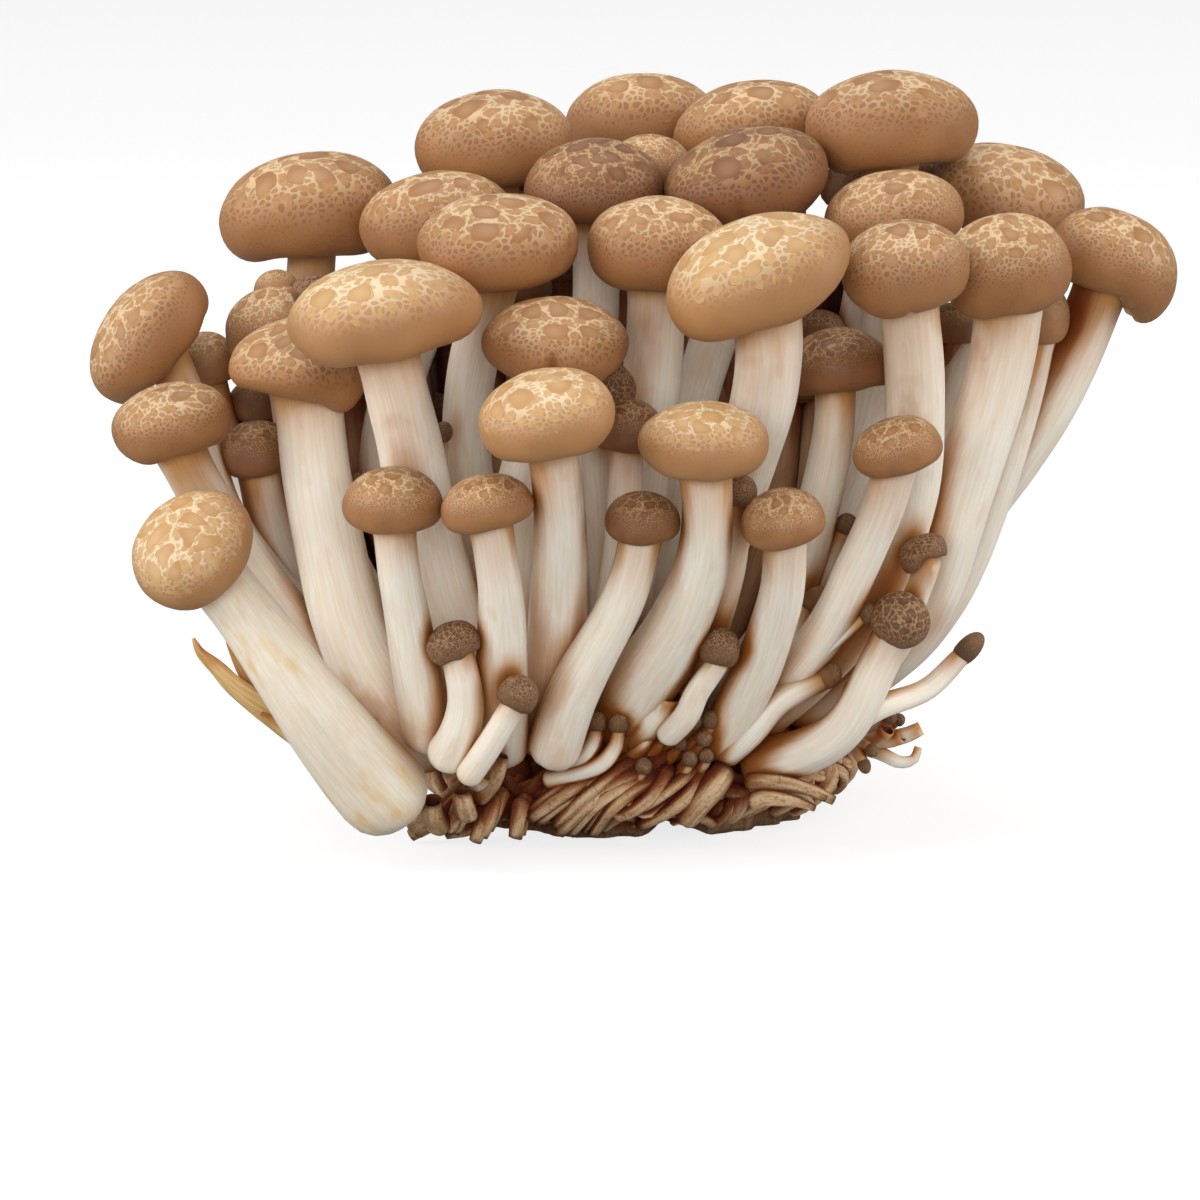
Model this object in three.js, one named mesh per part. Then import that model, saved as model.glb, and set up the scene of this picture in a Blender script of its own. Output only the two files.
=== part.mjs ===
// Brown beech mushroom cluster, standing on the cut base that all its stems grow from.
// Millimetres, +Z up, +X to the right, +Y to the back; the origin is the middle of the bottom.
//
// A grown mushroom is two pieces, its opened cap and its stem. A young one has a cap still closed
// against the stem, so it is one piece. Each is turned straight on a lathe, then bent along the
// line that it grew on, and the crowd is settled so that no mushroom grows through another.
import * as THREE from "three";

// ---- Driving dimensions ----
const BASE = { halfWidth: 30, halfDepth: 26, height: 12.5, squareness: 3, sides: 26 };
const CAP_SIDES = 14;
const STEM_SIDES = 8;
const FLOOR_CLEARANCE = 0.6; // lowest stem above the surface that the base stands on
const CONTACT_GAP = 0.3; // between a cap and its own stem
const CROWD_GAP = 0.75; // between the round bodies of two neighbours
const KNOT_SPACING = 3.2; // of the points that a stem can bend at while the crowd settles
const STEM_RINGS = 8;

// How the crowd settles: a share of the sideways and upward push is kept, so that neighbours
// make room for each other front to back first.
const SETTLING = { sweeps: 600, sideways: 0.22, upward: 0.18, stiffness: 0.5, reach: 6 };

// Outline of an opened cap as shares of its radius and height, from the middle of the underside,
// round the inrolled margin, to the top.
const CAP_OUTLINE = [
  [0, 0.24], [0.5, 0.2], [0.82, 0.06], [0.91, 0], [0.985, 0.1], [1, 0.28], [0.93, 0.53],
  [0.73, 0.79], [0.4, 0.95], [0, 1],
];

// Outline of a closed young cap, from its edge against the stem to the top.
const YOUNG_OUTLINE = [[0.9, 0], [1, 0.24], [0.96, 0.5], [0.76, 0.78], [0.42, 0.95], [0, 1]];

// Lumps of the base: lobes round it and their depth as a share of its radius, with a phase.
const BASE_LUMPS = [[3, 0.03, 0.6], [5, 0.025, 2.1], [9, 0.015, 0.3]];
const BASE_FULLNESS = 0.94; // mean share of the stated half width and half depth
// The split in the front of the base: where it lies round it, its half width and depth share.
const BASE_SPLIT = { bearing: 292, halfWidth: 9, depth: 0.16 };

// Each grown mushroom: the middle of its cap, the cap's radius and height, how far it leans and
// towards which bearing (0 right, 90 back, 180 left, 270 front), the stem's radius at the foot and
// at the cap, and the points that the stem passes from the foot up.
const GROWN = [
  { cap: [-66.5, -8, 67.5], size: [10, 10.5], lean: [52, 188], girth: [3, 2.5],
    stem: [[-23, -4, 11], [-46, -9, 28], [-56, -11, 42], [-60, -11, 54]] },
  { cap: [-61.5, -26, 59], size: [8, 8.5], lean: [14, 215], girth: [3.5, 3],
    stem: [[-25, -13, 11], [-38, -20, 22], [-47, -23, 34], [-56, -25, 46]] },
  { cap: [-58, -40, 44.5], size: [8.5, 9], lean: [46, 235], girth: [6.5, 3.5],
    stem: [[-29, -31, 3.5], [-36, -34, 12], [-41, -37, 20], [-48, -39, 31]] },
  { cap: [-44, 12, 82], size: [12.5, 13.5], lean: [8, 190], girth: [3, 3],
    stem: [[-22, 6, 11], [-38, 7, 22], [-47, 8, 38], [-48, 9, 56]] },
  { cap: [-44, -19, 66.5], size: [10, 7.5], lean: [14, 250], girth: [5, 4],
    stem: [[-26, -15, 11], [-35, -18, 20], [-38, -19, 27], [-41, -20, 40], [-43, -20, 52]] },
  { cap: [-33, -34, 75.5], size: [12, 11], lean: [10, 210], girth: [4.5, 4],
    stem: [[-18, -15, 12], [-23, -21, 24], [-26, -25, 36], [-28.5, -28, 50], [-29.5, -31, 60]] },
  { cap: [-27, 0, 82.5], size: [10.5, 11], lean: [8, 200], girth: [3, 3],
    stem: [[-16, -1, 12], [-30, 0, 26], [-36, 1, 44], [-32, 0, 62]] },
  { cap: [-19, 20, 91], size: [11, 12], lean: [5, 240], girth: [3, 3],
    stem: [[-11, 10, 12], [-15, 13, 34], [-18, 16, 56], [-18, 18, 72]] },
  { cap: [-18, -20, 80], size: [11, 10.5], lean: [8, 260], girth: [3, 3],
    stem: [[-12, -8, 13], [-19, -11, 30], [-23, -13, 50], [-22, -14, 64]] },
  { cap: [2.5, 40, 91], size: [11, 12], lean: [6, 90], girth: [3, 3],
    stem: [[-2, 15, 12], [-1, 24, 36], [0, 32, 60], [1, 38, 76]] },
  { cap: [16.5, 27, 92], size: [11, 11.5], lean: [8, 170], girth: [3, 3],
    stem: [[5, 12, 12], [10, 16, 36], [14, 21, 58], [16, 25, 76]] },
  { cap: [16.5, 1, 88.5], size: [11.5, 11.5], lean: [14, 200], girth: [3, 3],
    stem: [[2, 2, 13], [5, 1, 36], [10, 1, 60], [16, 2, 74]] },
  { cap: [36, 13, 93], size: [12, 13], lean: [5, 130], girth: [3, 3.5],
    stem: [[13, 9, 12], [24, 10, 32], [31, 11, 54], [35, 13, 76]] },
  { cap: [3.5, -16, 81.5], size: [9.5, 11], lean: [6, 275], girth: [4, 3.5],
    stem: [[-3, -6, 13], [-1, -11, 32], [1, -13, 48], [3, -14, 62]] },
  { cap: [16.5, -35, 80.5], size: [12, 12], lean: [18, 205], girth: [4, 4],
    stem: [[4, -13, 13], [9, -18, 28], [13, -23, 44], [17, -29, 58]] },
  { cap: [35.5, -29, 80.5], size: [8.5, 10.5], lean: [10, 230], girth: [3.5, 3.5],
    stem: [[16, -11, 12], [27, -15, 22], [34, -18, 34], [38, -21, 48], [38, -23, 62]] },
  { cap: [52, 17, 85], size: [11, 10.5], lean: [14, 320], girth: [3, 3],
    stem: [[19, 6, 12], [33, 7, 28], [42, 7, 48], [48, 7, 66]] },
  { cap: [49.5, -20, 79], size: [8.5, 12], lean: [14, 235], girth: [4, 4],
    stem: [[21, -9, 12], [35, -15, 21], [41, -17, 31], [43, -18, 43], [48, -19, 60]] },
  { cap: [66, -4, 77.5], size: [9, 11], lean: [24, 345], girth: [3, 3.5],
    stem: [[22, 4, 11], [35, 4, 22], [44, 3, 34], [51, 1, 45], [60, -3, 59]] },
  { cap: [-11, -29.5, 72.5], size: [9.5, 9.5], lean: [10, 280], girth: [3.5, 3],
    stem: [[-10, -15, 13], [-17, -23, 34], [-15, -27, 55]] },
  { cap: [-11.5, -46, 64.5], size: [9, 9.5], lean: [16, 225], girth: [4, 3],
    stem: [[-10, -21, 12], [-9, -30, 30], [-9, -40, 48]] },
  { cap: [9, -46, 60], size: [8.5, 8.5], lean: [6, 250], girth: [5, 3],
    stem: [[-5, -21, 14], [1, -30, 24], [7, -38, 36], [10, -43, 46]] },
];

// Each young mushroom, in the same form.
const YOUNG = [
  { cap: [-58.5, 2, 62.5], size: [4.5, 7], lean: [12, 200], girth: [2.5, 2],
    stem: [[-24, 1, 10], [-40, 1, 27], [-52, 2, 42], [-57, 2, 54]] },
  { cap: [-51.5, -10, 52], size: [5.5, 7], lean: [5, 180], girth: [3, 2.5],
    stem: [[-24, -2, 11], [-38, -7, 20], [-45, -10, 29], [-50, -11, 39]] },
  { cap: [-49.5, -2, 68], size: [7, 9.5], lean: [15, 200], girth: [2.5, 2],
    stem: [[-23, 3, 11], [-38, 0, 24], [-45, -1, 38], [-48, -2, 54]] },
  { cap: [-5, 2, 87.5], size: [9.5, 9.5], lean: [10, 260], girth: [3, 3],
    stem: [[-6, 4, 13], [-6, 2, 38], [-5, 2, 62]] },
  { cap: [3, 18, 87], size: [6.5, 9], lean: [6, 90], girth: [3, 2.5],
    stem: [[0, 9, 13], [1, 12, 38], [2, 15, 64]] },
  { cap: [35.5, -6, 84.5], size: [9.5, 9.5], lean: [8, 210], girth: [2.5, 3],
    stem: [[13, 0, 13], [24, -2, 30], [32, -3, 50], [35, -5, 68]] },
  { cap: [56, -11, 70.5], size: [4.5, 8], lean: [8, 345], girth: [2.5, 2.5],
    stem: [[24, -5, 11], [37, -7, 19], [44, -8, 28], [48, -9, 40], [53, -10, 54]] },
  { cap: [-0.5, -28, 58.5], size: [5, 6.5], lean: [8, 330], girth: [2.5, 2],
    stem: [[-5, -13, 13], [-3, -22, 31], [-1, -27, 45]] },
  { cap: [27, -20, 66], size: [6.5, 7.5], lean: [12, 200], girth: [3, 2.5],
    stem: [[11, -8, 13], [22, -14, 28], [25, -16, 44]] },
  { cap: [34.5, -37, 57.5], size: [6, 6.5], lean: [16, 195], girth: [3, 2.5],
    stem: [[13, -14, 13], [20, -20, 21], [28, -27, 31], [31, -32, 44]] },
  { cap: [-31, -43, 51.5], size: [6.5, 7.5], lean: [5, 280], girth: [3.5, 2.5],
    stem: [[-28, -29, 14], [-29, -35, 25], [-30, -39, 36]] },
  { cap: [-18, -45, 52], size: [6, 6.5], lean: [10, 190], girth: [4, 2.5],
    stem: [[-17, -26, 13], [-16.5, -35, 24], [-16, -39, 36]] },
  { cap: [1.5, -43, 49], size: [5, 6], lean: [5, 290], girth: [3.5, 2.5],
    stem: [[-11, -25, 13], [-8, -32, 24], [-2, -38, 35]] },
  { cap: [19, -43, 49], size: [5.5, 6.5], lean: [15, 230], girth: [3, 2.5],
    stem: [[11, -22, 12], [16, -29, 24], [19, -36, 35]] },
  { cap: [36, -31, 33], size: [4, 6], lean: [35, 300], girth: [3, 2.5],
    stem: [[15, -21, 10.5], [22, -26, 13], [29, -29, 17], [31.5, -30, 24]] },
];

const skin = (color, roughness) => new THREE.MeshStandardMaterial({ color, roughness, metalness: 0 });
const CAP_SKIN = skin(0xb98c5c, 0.55);
const STEM_FLESH = skin(0xeee2d3, 0.6);
const YOUNG_FLESH = skin(0xd3b48f, 0.6);
const BASE_MASS = skin(0xa98f72, 0.9);

// ---- The growing line of one mushroom ----

// Unit vector that leans away from upright towards a bearing, both in degrees.
function leaning([degrees, bearing]) {
  const tilt = THREE.MathUtils.degToRad(degrees);
  const round = THREE.MathUtils.degToRad(bearing);
  const out = Math.sin(tilt);
  return new THREE.Vector3(out * Math.cos(round), out * Math.sin(round), Math.cos(tilt));
}

// The curve from the foot to the middle of the cap's lower edge, straight where it meets the cap.
function growingLine(points, neck, axis, straight) {
  const below = neck.clone().addScaledVector(axis, -straight);
  return new THREE.CatmullRomCurve3([...points, below, neck], false, "centripetal");
}

// A stem swells towards its foot.
function girthAt(share, [foot, top]) {
  return top + (foot - top) * (1 - share) ** 1.5;
}

// A mushroom ready to settle: knots are points along the stem, each with the room it takes up.
function sprout(row) {
  const axis = leaning(row.lean);
  const [radius, height] = row.size;
  const middle = new THREE.Vector3(...row.cap);
  const neck = middle.clone().addScaledVector(axis, -height / 2);
  const points = row.stem.map((place) => new THREE.Vector3(...place));
  const line = growingLine(points, neck, axis, height / 2);
  const steps = Math.ceil(line.getLength() / KNOT_SPACING);
  const knots = line.getSpacedPoints(steps);
  const moved = knots.map(() => new THREE.Vector3());
  return { axis, radius, height, middle, girth: row.girth, knots, moved };
}

// ---- Settling the crowd ----

// Round bodies that fill a cap: one in the middle, and rings of them towards the margin.
function capBubbles({ axis, radius, height, middle }) {
  const turn = new THREE.Quaternion().setFromUnitVectors(new THREE.Vector3(0, 0, 1), axis);
  const rings = [
    { count: 1, out: 0, up: 0.5, size: 0.5 * height },
    { count: 6, out: 0.42 * radius, up: 0.56, size: 0.4 * height },
    { count: 10, out: radius - 0.34 * height, up: 0.34, size: 0.34 * height },
    { count: 12, out: radius - 0.2 * height, up: 0.17, size: 0.18 * height },
  ];
  return rings.flatMap(({ count, out, up, size }) =>
    Array.from({ length: count }, (_, i) => {
      const round = (2 * Math.PI * i) / count;
      const place = new THREE.Vector3(out * Math.cos(round), out * Math.sin(round), (up - 0.5) * height);
      return { place: place.applyQuaternion(turn).add(middle), size };
    }),
  );
}

// Every round body of the crowd, with the mushroom and the knot that it moves with.
function bubblesOf(crowd) {
  return crowd.flatMap((mushroom, owner) => {
    const last = mushroom.knots.length - 1;
    const stem = mushroom.knots.map((place, knot) => ({
      place, knot, owner, size: girthAt(knot / last, mushroom.girth) * (knot === 0 ? 0.8 : 1),
    }));
    const cap = capBubbles(mushroom).map((bubble) => ({ ...bubble, knot: last, owner }));
    return [...stem, ...cap];
  });
}

// Pairs of bodies of different mushrooms that are near enough to meet.
function nearPairs(bubbles, placeOf) {
  const places = bubbles.map(placeOf);
  const pairs = [];
  bubbles.forEach((a, i) => {
    for (let j = i + 1; j < bubbles.length; j++) {
      const b = bubbles[j];
      const room = a.size + b.size + CROWD_GAP + SETTLING.reach;
      const near = places[i].distanceTo(places[j]) < room;
      if (near && a.owner !== b.owner) pairs.push([a, b]);
    }
  });
  return pairs;
}

// Height of the base's top over a point.
function baseTop(x, y) {
  const { halfWidth, halfDepth, height, squareness } = BASE;
  const out = Math.hypot(x / halfWidth, y / halfDepth);
  return out >= 1 ? 0 : height * (1 - out ** squareness) ** (1 / squareness);
}

// Moves the mushrooms apart until they clear each other, the base and the floor.
function settle(crowd) {
  const bubbles = bubblesOf(crowd);
  const shift = (bubble) => crowd[bubble.owner].moved[bubble.knot];
  const placeOf = (bubble) => bubble.place.clone().add(shift(bubble));
  const push = new THREE.Vector3();
  let pairs = [];
  for (let sweep = 0; sweep < SETTLING.sweeps; sweep++) {
    if (sweep % 15 === 0) pairs = nearPairs(bubbles, placeOf);
    for (const [a, b] of pairs) {
      push.copy(b.place).add(shift(b)).sub(a.place).sub(shift(a));
      const room = a.size + b.size + CROWD_GAP;
      const apart = push.length();
      if (apart >= room || apart === 0) continue;
      push.multiplyScalar((0.5 * (room - apart)) / apart);
      push.multiply(new THREE.Vector3(SETTLING.sideways, 1, SETTLING.upward));
      shift(a).sub(push);
      shift(b).add(push);
    }
    for (const bubble of bubbles) {
      const { x, y, z } = placeOf(bubble);
      const lowest = Math.max(baseTop(x, y) + CROWD_GAP, FLOOR_CLEARANCE) + bubble.size;
      if (z < lowest) shift(bubble).z += 0.5 * (lowest - z);
    }
    for (const { moved } of crowd) smooth(moved);
  }
}

// Evens out how far neighbouring knots have moved, so that a stem stays one fair curve.
function smooth(moved) {
  const last = moved.length - 1;
  const before = moved.map((m) => m.clone());
  for (let i = 0; i < last; i++) {
    const mean = before[Math.max(i - 1, 0)].clone().add(before[i + 1]).multiplyScalar(0.5);
    moved[i].lerp(mean, SETTLING.stiffness);
  }
}

// ---- Shapes ----

// Bends a shape turned about Y so that its axis follows a line, from its start at height 0.
function bend(geometry, line) {
  const steps = 64;
  const length = line.getLength();
  const frames = line.computeFrenetFrames(steps, false);
  const position = geometry.getAttribute("position");
  const side = new THREE.Vector3();
  for (let i = 0; i < position.count; i++) {
    const share = THREE.MathUtils.clamp(position.getY(i) / length, 0, 1);
    const at = Math.round(share * steps);
    const place = line.getPointAt(share);
    side.crossVectors(frames.normals[at], frames.tangents[at]);
    place.addScaledVector(frames.normals[at], position.getX(i)).addScaledVector(side, position.getZ(i));
    position.setXYZ(i, place.x, place.y, place.z);
  }
  return geometry;
}

function lathe(outline, sides) {
  return new THREE.LatheGeometry(outline.map(([x, y]) => new THREE.Vector2(x, y)), sides);
}

// Outline of a stem from its blunt foot up, without its top.
function stemOutline(girth, length) {
  const [foot] = girth;
  const blunt = [[0, 0], [0.7 * foot, 0.25 * foot], [foot * 0.97, 0.85 * foot]];
  const rings = Array.from({ length: STEM_RINGS }, (_, i) => {
    const share = (i + 1) / STEM_RINGS;
    return [girthAt(share, girth), foot + (length - foot) * share];
  });
  return [...blunt, ...rings];
}

// The line of a settled mushroom, up to a given height above the cap's lower edge.
function settledLine(mushroom, above) {
  const { knots, moved, axis, middle, height } = mushroom;
  const last = knots.length - 1;
  const neck = middle.clone().add(moved[last]).addScaledVector(axis, -height / 2);
  const settled = knots.map((knot, i) => knot.clone().add(moved[i]));
  const lower = settled.filter((_, i) => i % 2 === 0 && i < last - 1);
  const below = neck.clone().addScaledVector(axis, -KNOT_SPACING / 2);
  const end = neck.clone().addScaledVector(axis, above);
  return new THREE.CatmullRomCurve3([...lower, below, neck, end], false, "centripetal");
}

function grownCap({ axis, radius, height, middle, moved }) {
  const cap = lathe(CAP_OUTLINE.map(([out, up]) => [out * radius, (up - 0.5) * height]), CAP_SIDES);
  const place = middle.clone().add(moved.at(-1));
  return cap.applyQuaternion(new THREE.Quaternion().setFromUnitVectors(new THREE.Vector3(0, 1, 0), axis))
    .translate(place.x, place.y, place.z);
}

function grownStem(mushroom) {
  const above = CAP_OUTLINE[0][1] * mushroom.height - CONTACT_GAP - mushroom.girth[1] * 0.1;
  const line = settledLine(mushroom, above);
  const length = line.getLength();
  return bend(lathe([...stemOutline(mushroom.girth, length), [0, length]], STEM_SIDES), line);
}

function youngMushroom(mushroom) {
  const { radius, height, girth } = mushroom;
  const line = settledLine(mushroom, height);
  const length = line.getLength();
  const edge = length - height;
  const cap = YOUNG_OUTLINE.map(([out, up]) => [out * radius, edge + up * height]);
  return bend(lathe([...stemOutline(girth, edge + 0.1 * height), ...cap], STEM_SIDES + 2), line);
}

// The base: a low bun with lumps and a split in its front, flat where it was cut.
function rootBase() {
  const { halfWidth, halfDepth, height, squareness, sides } = BASE;
  const rises = [0, 0.18, 0.42, 0.66, 0.86];
  const wall = rises.map((up) => [(1 - up ** squareness) ** (1 / squareness), up * height]);
  const outline = [[0, 0], [0.94, 0], ...wall.slice(1), [0.5, 0.965 * height], [0, height]];
  const base = lathe(outline, sides);
  const position = base.getAttribute("position");
  for (let i = 0; i < position.count; i++) {
    const [x, up, z] = [position.getX(i), position.getY(i), position.getZ(i)];
    const round = Math.atan2(-z, x);
    const out = lumpyRadius(round) - splitDepth(round) * (1 - up / height);
    position.setXYZ(i, x * out * halfWidth, -z * out * halfDepth, up);
  }
  return base;
}

// Share of the base's radius that its lumps leave at an angle round it.
function lumpyRadius(round) {
  const waves = BASE_LUMPS.map(([lobes, depth, phase]) => depth * Math.cos(lobes * round + phase));
  return BASE_FULLNESS + waves.reduce((sum, wave) => sum + wave, 0);
}

// Share of the base's radius that the split in its front takes away at the floor.
function splitDepth(round) {
  const { bearing, halfWidth, depth } = BASE_SPLIT;
  const off = ((THREE.MathUtils.radToDeg(round) - bearing + 900) % 360) - 180;
  return depth * Math.exp(-((off / halfWidth) ** 2));
}

// ---- The cluster ----
const grown = GROWN.map(sprout);
const young = YOUNG.map(sprout);
settle([...grown, ...young]);

const cluster = new THREE.Group();
function add(name, geometry, material) {
  const mesh = new THREE.Mesh(geometry, material);
  mesh.name = name;
  cluster.add(mesh);
}
const numbered = (kind, i) => `${kind}_${String(i + 1).padStart(2, "0")}`;

add("root_base", rootBase(), BASE_MASS);
grown.forEach((mushroom, i) => {
  add(numbered("stem", i), grownStem(mushroom), STEM_FLESH);
  add(numbered("cap", i), grownCap(mushroom), CAP_SKIN);
});
young.forEach((mushroom, i) => add(numbered("young", i), youngMushroom(mushroom), YOUNG_FLESH));

const middle = new THREE.Box3().setFromObject(cluster, true).getCenter(new THREE.Vector3());
cluster.position.set(-middle.x, -middle.y, 0);

export default cluster;
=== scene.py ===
"""Brown beech mushroom cluster: the visible surfaces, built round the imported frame.

Shapes are made in millimetres, +Z up and +Y to the back, and become metres when a piece is
finished. Each opened cap, stem and young mushroom takes its place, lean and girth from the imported
solid that it stands for. The smallest mushrooms, pins, strands and scraps are listed here.
"""

import logging
import math
import random
from dataclasses import dataclass, field
from enum import Enum
from typing import Callable, NamedTuple, Sequence

import bmesh
import bpy
import numpy as np
from mathutils import Matrix, Vector, noise


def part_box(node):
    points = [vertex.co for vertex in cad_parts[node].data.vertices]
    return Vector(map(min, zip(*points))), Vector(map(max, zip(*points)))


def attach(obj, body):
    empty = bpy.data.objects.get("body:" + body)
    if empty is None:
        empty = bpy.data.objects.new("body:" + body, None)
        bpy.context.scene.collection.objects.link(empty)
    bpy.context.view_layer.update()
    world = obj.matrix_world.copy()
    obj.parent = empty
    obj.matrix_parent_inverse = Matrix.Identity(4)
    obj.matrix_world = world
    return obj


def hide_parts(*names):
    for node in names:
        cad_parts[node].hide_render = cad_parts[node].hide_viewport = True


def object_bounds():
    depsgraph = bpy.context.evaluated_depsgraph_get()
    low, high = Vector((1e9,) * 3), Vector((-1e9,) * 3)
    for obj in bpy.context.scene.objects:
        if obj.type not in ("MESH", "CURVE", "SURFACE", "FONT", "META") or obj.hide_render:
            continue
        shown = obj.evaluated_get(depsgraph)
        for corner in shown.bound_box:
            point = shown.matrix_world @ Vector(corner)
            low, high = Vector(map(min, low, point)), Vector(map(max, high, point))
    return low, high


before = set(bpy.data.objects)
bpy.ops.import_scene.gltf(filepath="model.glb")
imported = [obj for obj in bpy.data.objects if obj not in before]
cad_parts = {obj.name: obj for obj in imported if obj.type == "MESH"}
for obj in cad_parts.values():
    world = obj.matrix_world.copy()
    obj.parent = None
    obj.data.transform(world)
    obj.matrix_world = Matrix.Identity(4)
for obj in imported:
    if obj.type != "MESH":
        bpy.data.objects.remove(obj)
CAD_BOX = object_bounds()

MM = 0.001
WELD = 0.003
UP = Vector((0.0, 0.0, 1.0))
ORIGIN = Vector((0.0, 0.0, 0.0))
BODY = "root"
log = logging.getLogger("cluster")

Colour = tuple[float, float, float, float]


def tint(red: int, green: int, blue: int) -> Colour:
    """Turns a screen colour of 0 to 255 into the linear colour that shaders use.

    Args:
        red: Red, 0 to 255.
        green: Green, 0 to 255.
        blue: Blue, 0 to 255.

    Returns:
        The linear colour, opaque.
    """
    shares = (part / 255 for part in (red, green, blue))
    linear = (s / 12.92 if s <= 0.04045 else ((s + 0.055) / 1.055) ** 2.4 for s in shares)
    return (*linear, 1.0)


def ease(value: float, low: float, high: float) -> float:
    """Rises smoothly from 0 at low to 1 at high."""
    share = min(max((value - low) / (high - low), 0.0), 1.0)
    return share * share * (3 - 2 * share)


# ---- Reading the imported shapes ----


@dataclass(frozen=True)
class Ring:
    """One ring of a packed round shape, in millimetres."""

    middle: Vector
    radius: float


def eased(knots: Sequence[Sequence[float]]) -> np.ndarray:
    """Takes the small kinks out of a line.

    Args:
        knots: One row for each knot.

    Returns:
        The rows, both ends staying where they were.
    """
    rows = np.array(knots, float)
    for _ in range(2):
        rows[1:-1] = (rows[:-2] + 2 * rows[1:-1] + rows[2:]) / 4
    return rows


def rings_of(node: str) -> list[Ring]:
    """Reads a packed round shape back as rings.

    Args:
        node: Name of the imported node.

    Returns:
        Its rings from the lower end to the upper one, each end being a ring of no radius.
    """
    bm = bmesh.new()
    bm.from_mesh(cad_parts[node].data)
    bmesh.ops.scale(bm, vec=Vector((1, 1, 1)) / MM, verts=bm.verts)
    bmesh.ops.remove_doubles(bm, verts=bm.verts, dist=WELD)
    ends = sorted(bm.verts, key=lambda vert: len(vert.link_edges))[-2:]
    level = [min(ends, key=lambda vert: vert.co.z)]
    seen, rings = set(level), []
    while level:
        middle = sum((vert.co for vert in level), Vector()) / len(level)
        radius = sum((vert.co - middle).length for vert in level) / len(level)
        rings.append(Ring(middle, radius))
        beyond = {edge.other_vert(vert) for vert in level for edge in vert.link_edges}
        level = [vert for vert in beyond if vert not in seen]
        seen.update(level)
    bm.free()
    return rings


# ---- Lines that mushrooms and strands grew along ----


def fair(knots: np.ndarray, steps: int) -> np.ndarray:
    """Passes a smooth curve through rows of numbers.

    Args:
        knots: One row for each knot.
        steps: How many points to make for each span.

    Returns:
        The rows of the points along the curve.
    """
    rows = np.vstack([2 * knots[0] - knots[1], knots, 2 * knots[-1] - knots[-2]])
    t = np.linspace(0, 1, steps, endpoint=False)[:, None]
    spans = [
        b + 0.5 * t * ((c - a) + t * ((2 * a - 5 * b + 4 * c - d) + t * (3 * b - a - 3 * c + d)))
        for a, b, c, d in zip(rows, rows[1:], rows[2:], rows[3:])
    ]
    return np.vstack([*spans, knots[-1:]])


class GrowingLine:
    """A smooth line with a girth along it and frames that don't twist."""

    STEPS = 12
    ASIDE = (0.31, 0.95, 0.05)

    def __init__(self, knots: Sequence[Sequence[float]]) -> None:
        """Fairs the line.

        Args:
            knots: The points it passes, each as x, y, z and girth.
        """
        rows = fair(np.array(knots, float), self.STEPS)
        self.places, self.girths = rows[:, :3], rows[:, 3]
        steps = np.linalg.norm(np.diff(self.places, axis=0), axis=1)
        self.distances = np.concatenate([[0.0], np.cumsum(steps)])
        self.length = float(self.distances[-1])
        tangents = np.gradient(self.places, self.distances, axis=0)
        self.tangents = tangents / np.linalg.norm(tangents, axis=1)[:, None]
        self.sides = self._carried_sides()

    def _carried_sides(self) -> np.ndarray:
        """Carries one sideways direction along the line without twist.

        Returns:
            The sideways direction at each place.
        """
        first = np.cross(self.tangents[0], self.ASIDE)
        sides = [first / np.linalg.norm(first)]
        for tangent in self.tangents[1:]:
            side = sides[-1] - tangent * float(sides[-1] @ tangent)
            sides.append(side / np.linalg.norm(side))
        return np.array(sides)

    def girth_at(self, distance: float) -> float:
        """Gives the girth at a distance from the foot."""
        return float(np.interp(distance, self.distances, self.girths))

    def carry(self, points: np.ndarray) -> np.ndarray:
        """Carries points that stand round the Z axis over to the line.

        Args:
            points: Points with Z as the distance along the line.

        Returns:
            The same points round the line.
        """
        along = np.clip(points[:, 2], 0, self.length)

        def follow(rows: np.ndarray) -> np.ndarray:
            """Reads rows at each point's distance along the line."""
            return np.stack([np.interp(along, self.distances, rows[:, i]) for i in range(3)], axis=1)

        place, tangent, side = follow(self.places), follow(self.tangents), follow(self.sides)
        other = np.cross(tangent, side)
        past = points[:, 2:] - along[:, None]
        return place + side * points[:, :1] + other * points[:, 1:2] + tangent * past


# ---- Meshes in the making ----


class Station(NamedTuple):
    """One point of an outline that is turned: its place, and what the finishes read there."""

    out: float
    up: float
    reach: float
    spread: float
    rise: float


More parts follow.
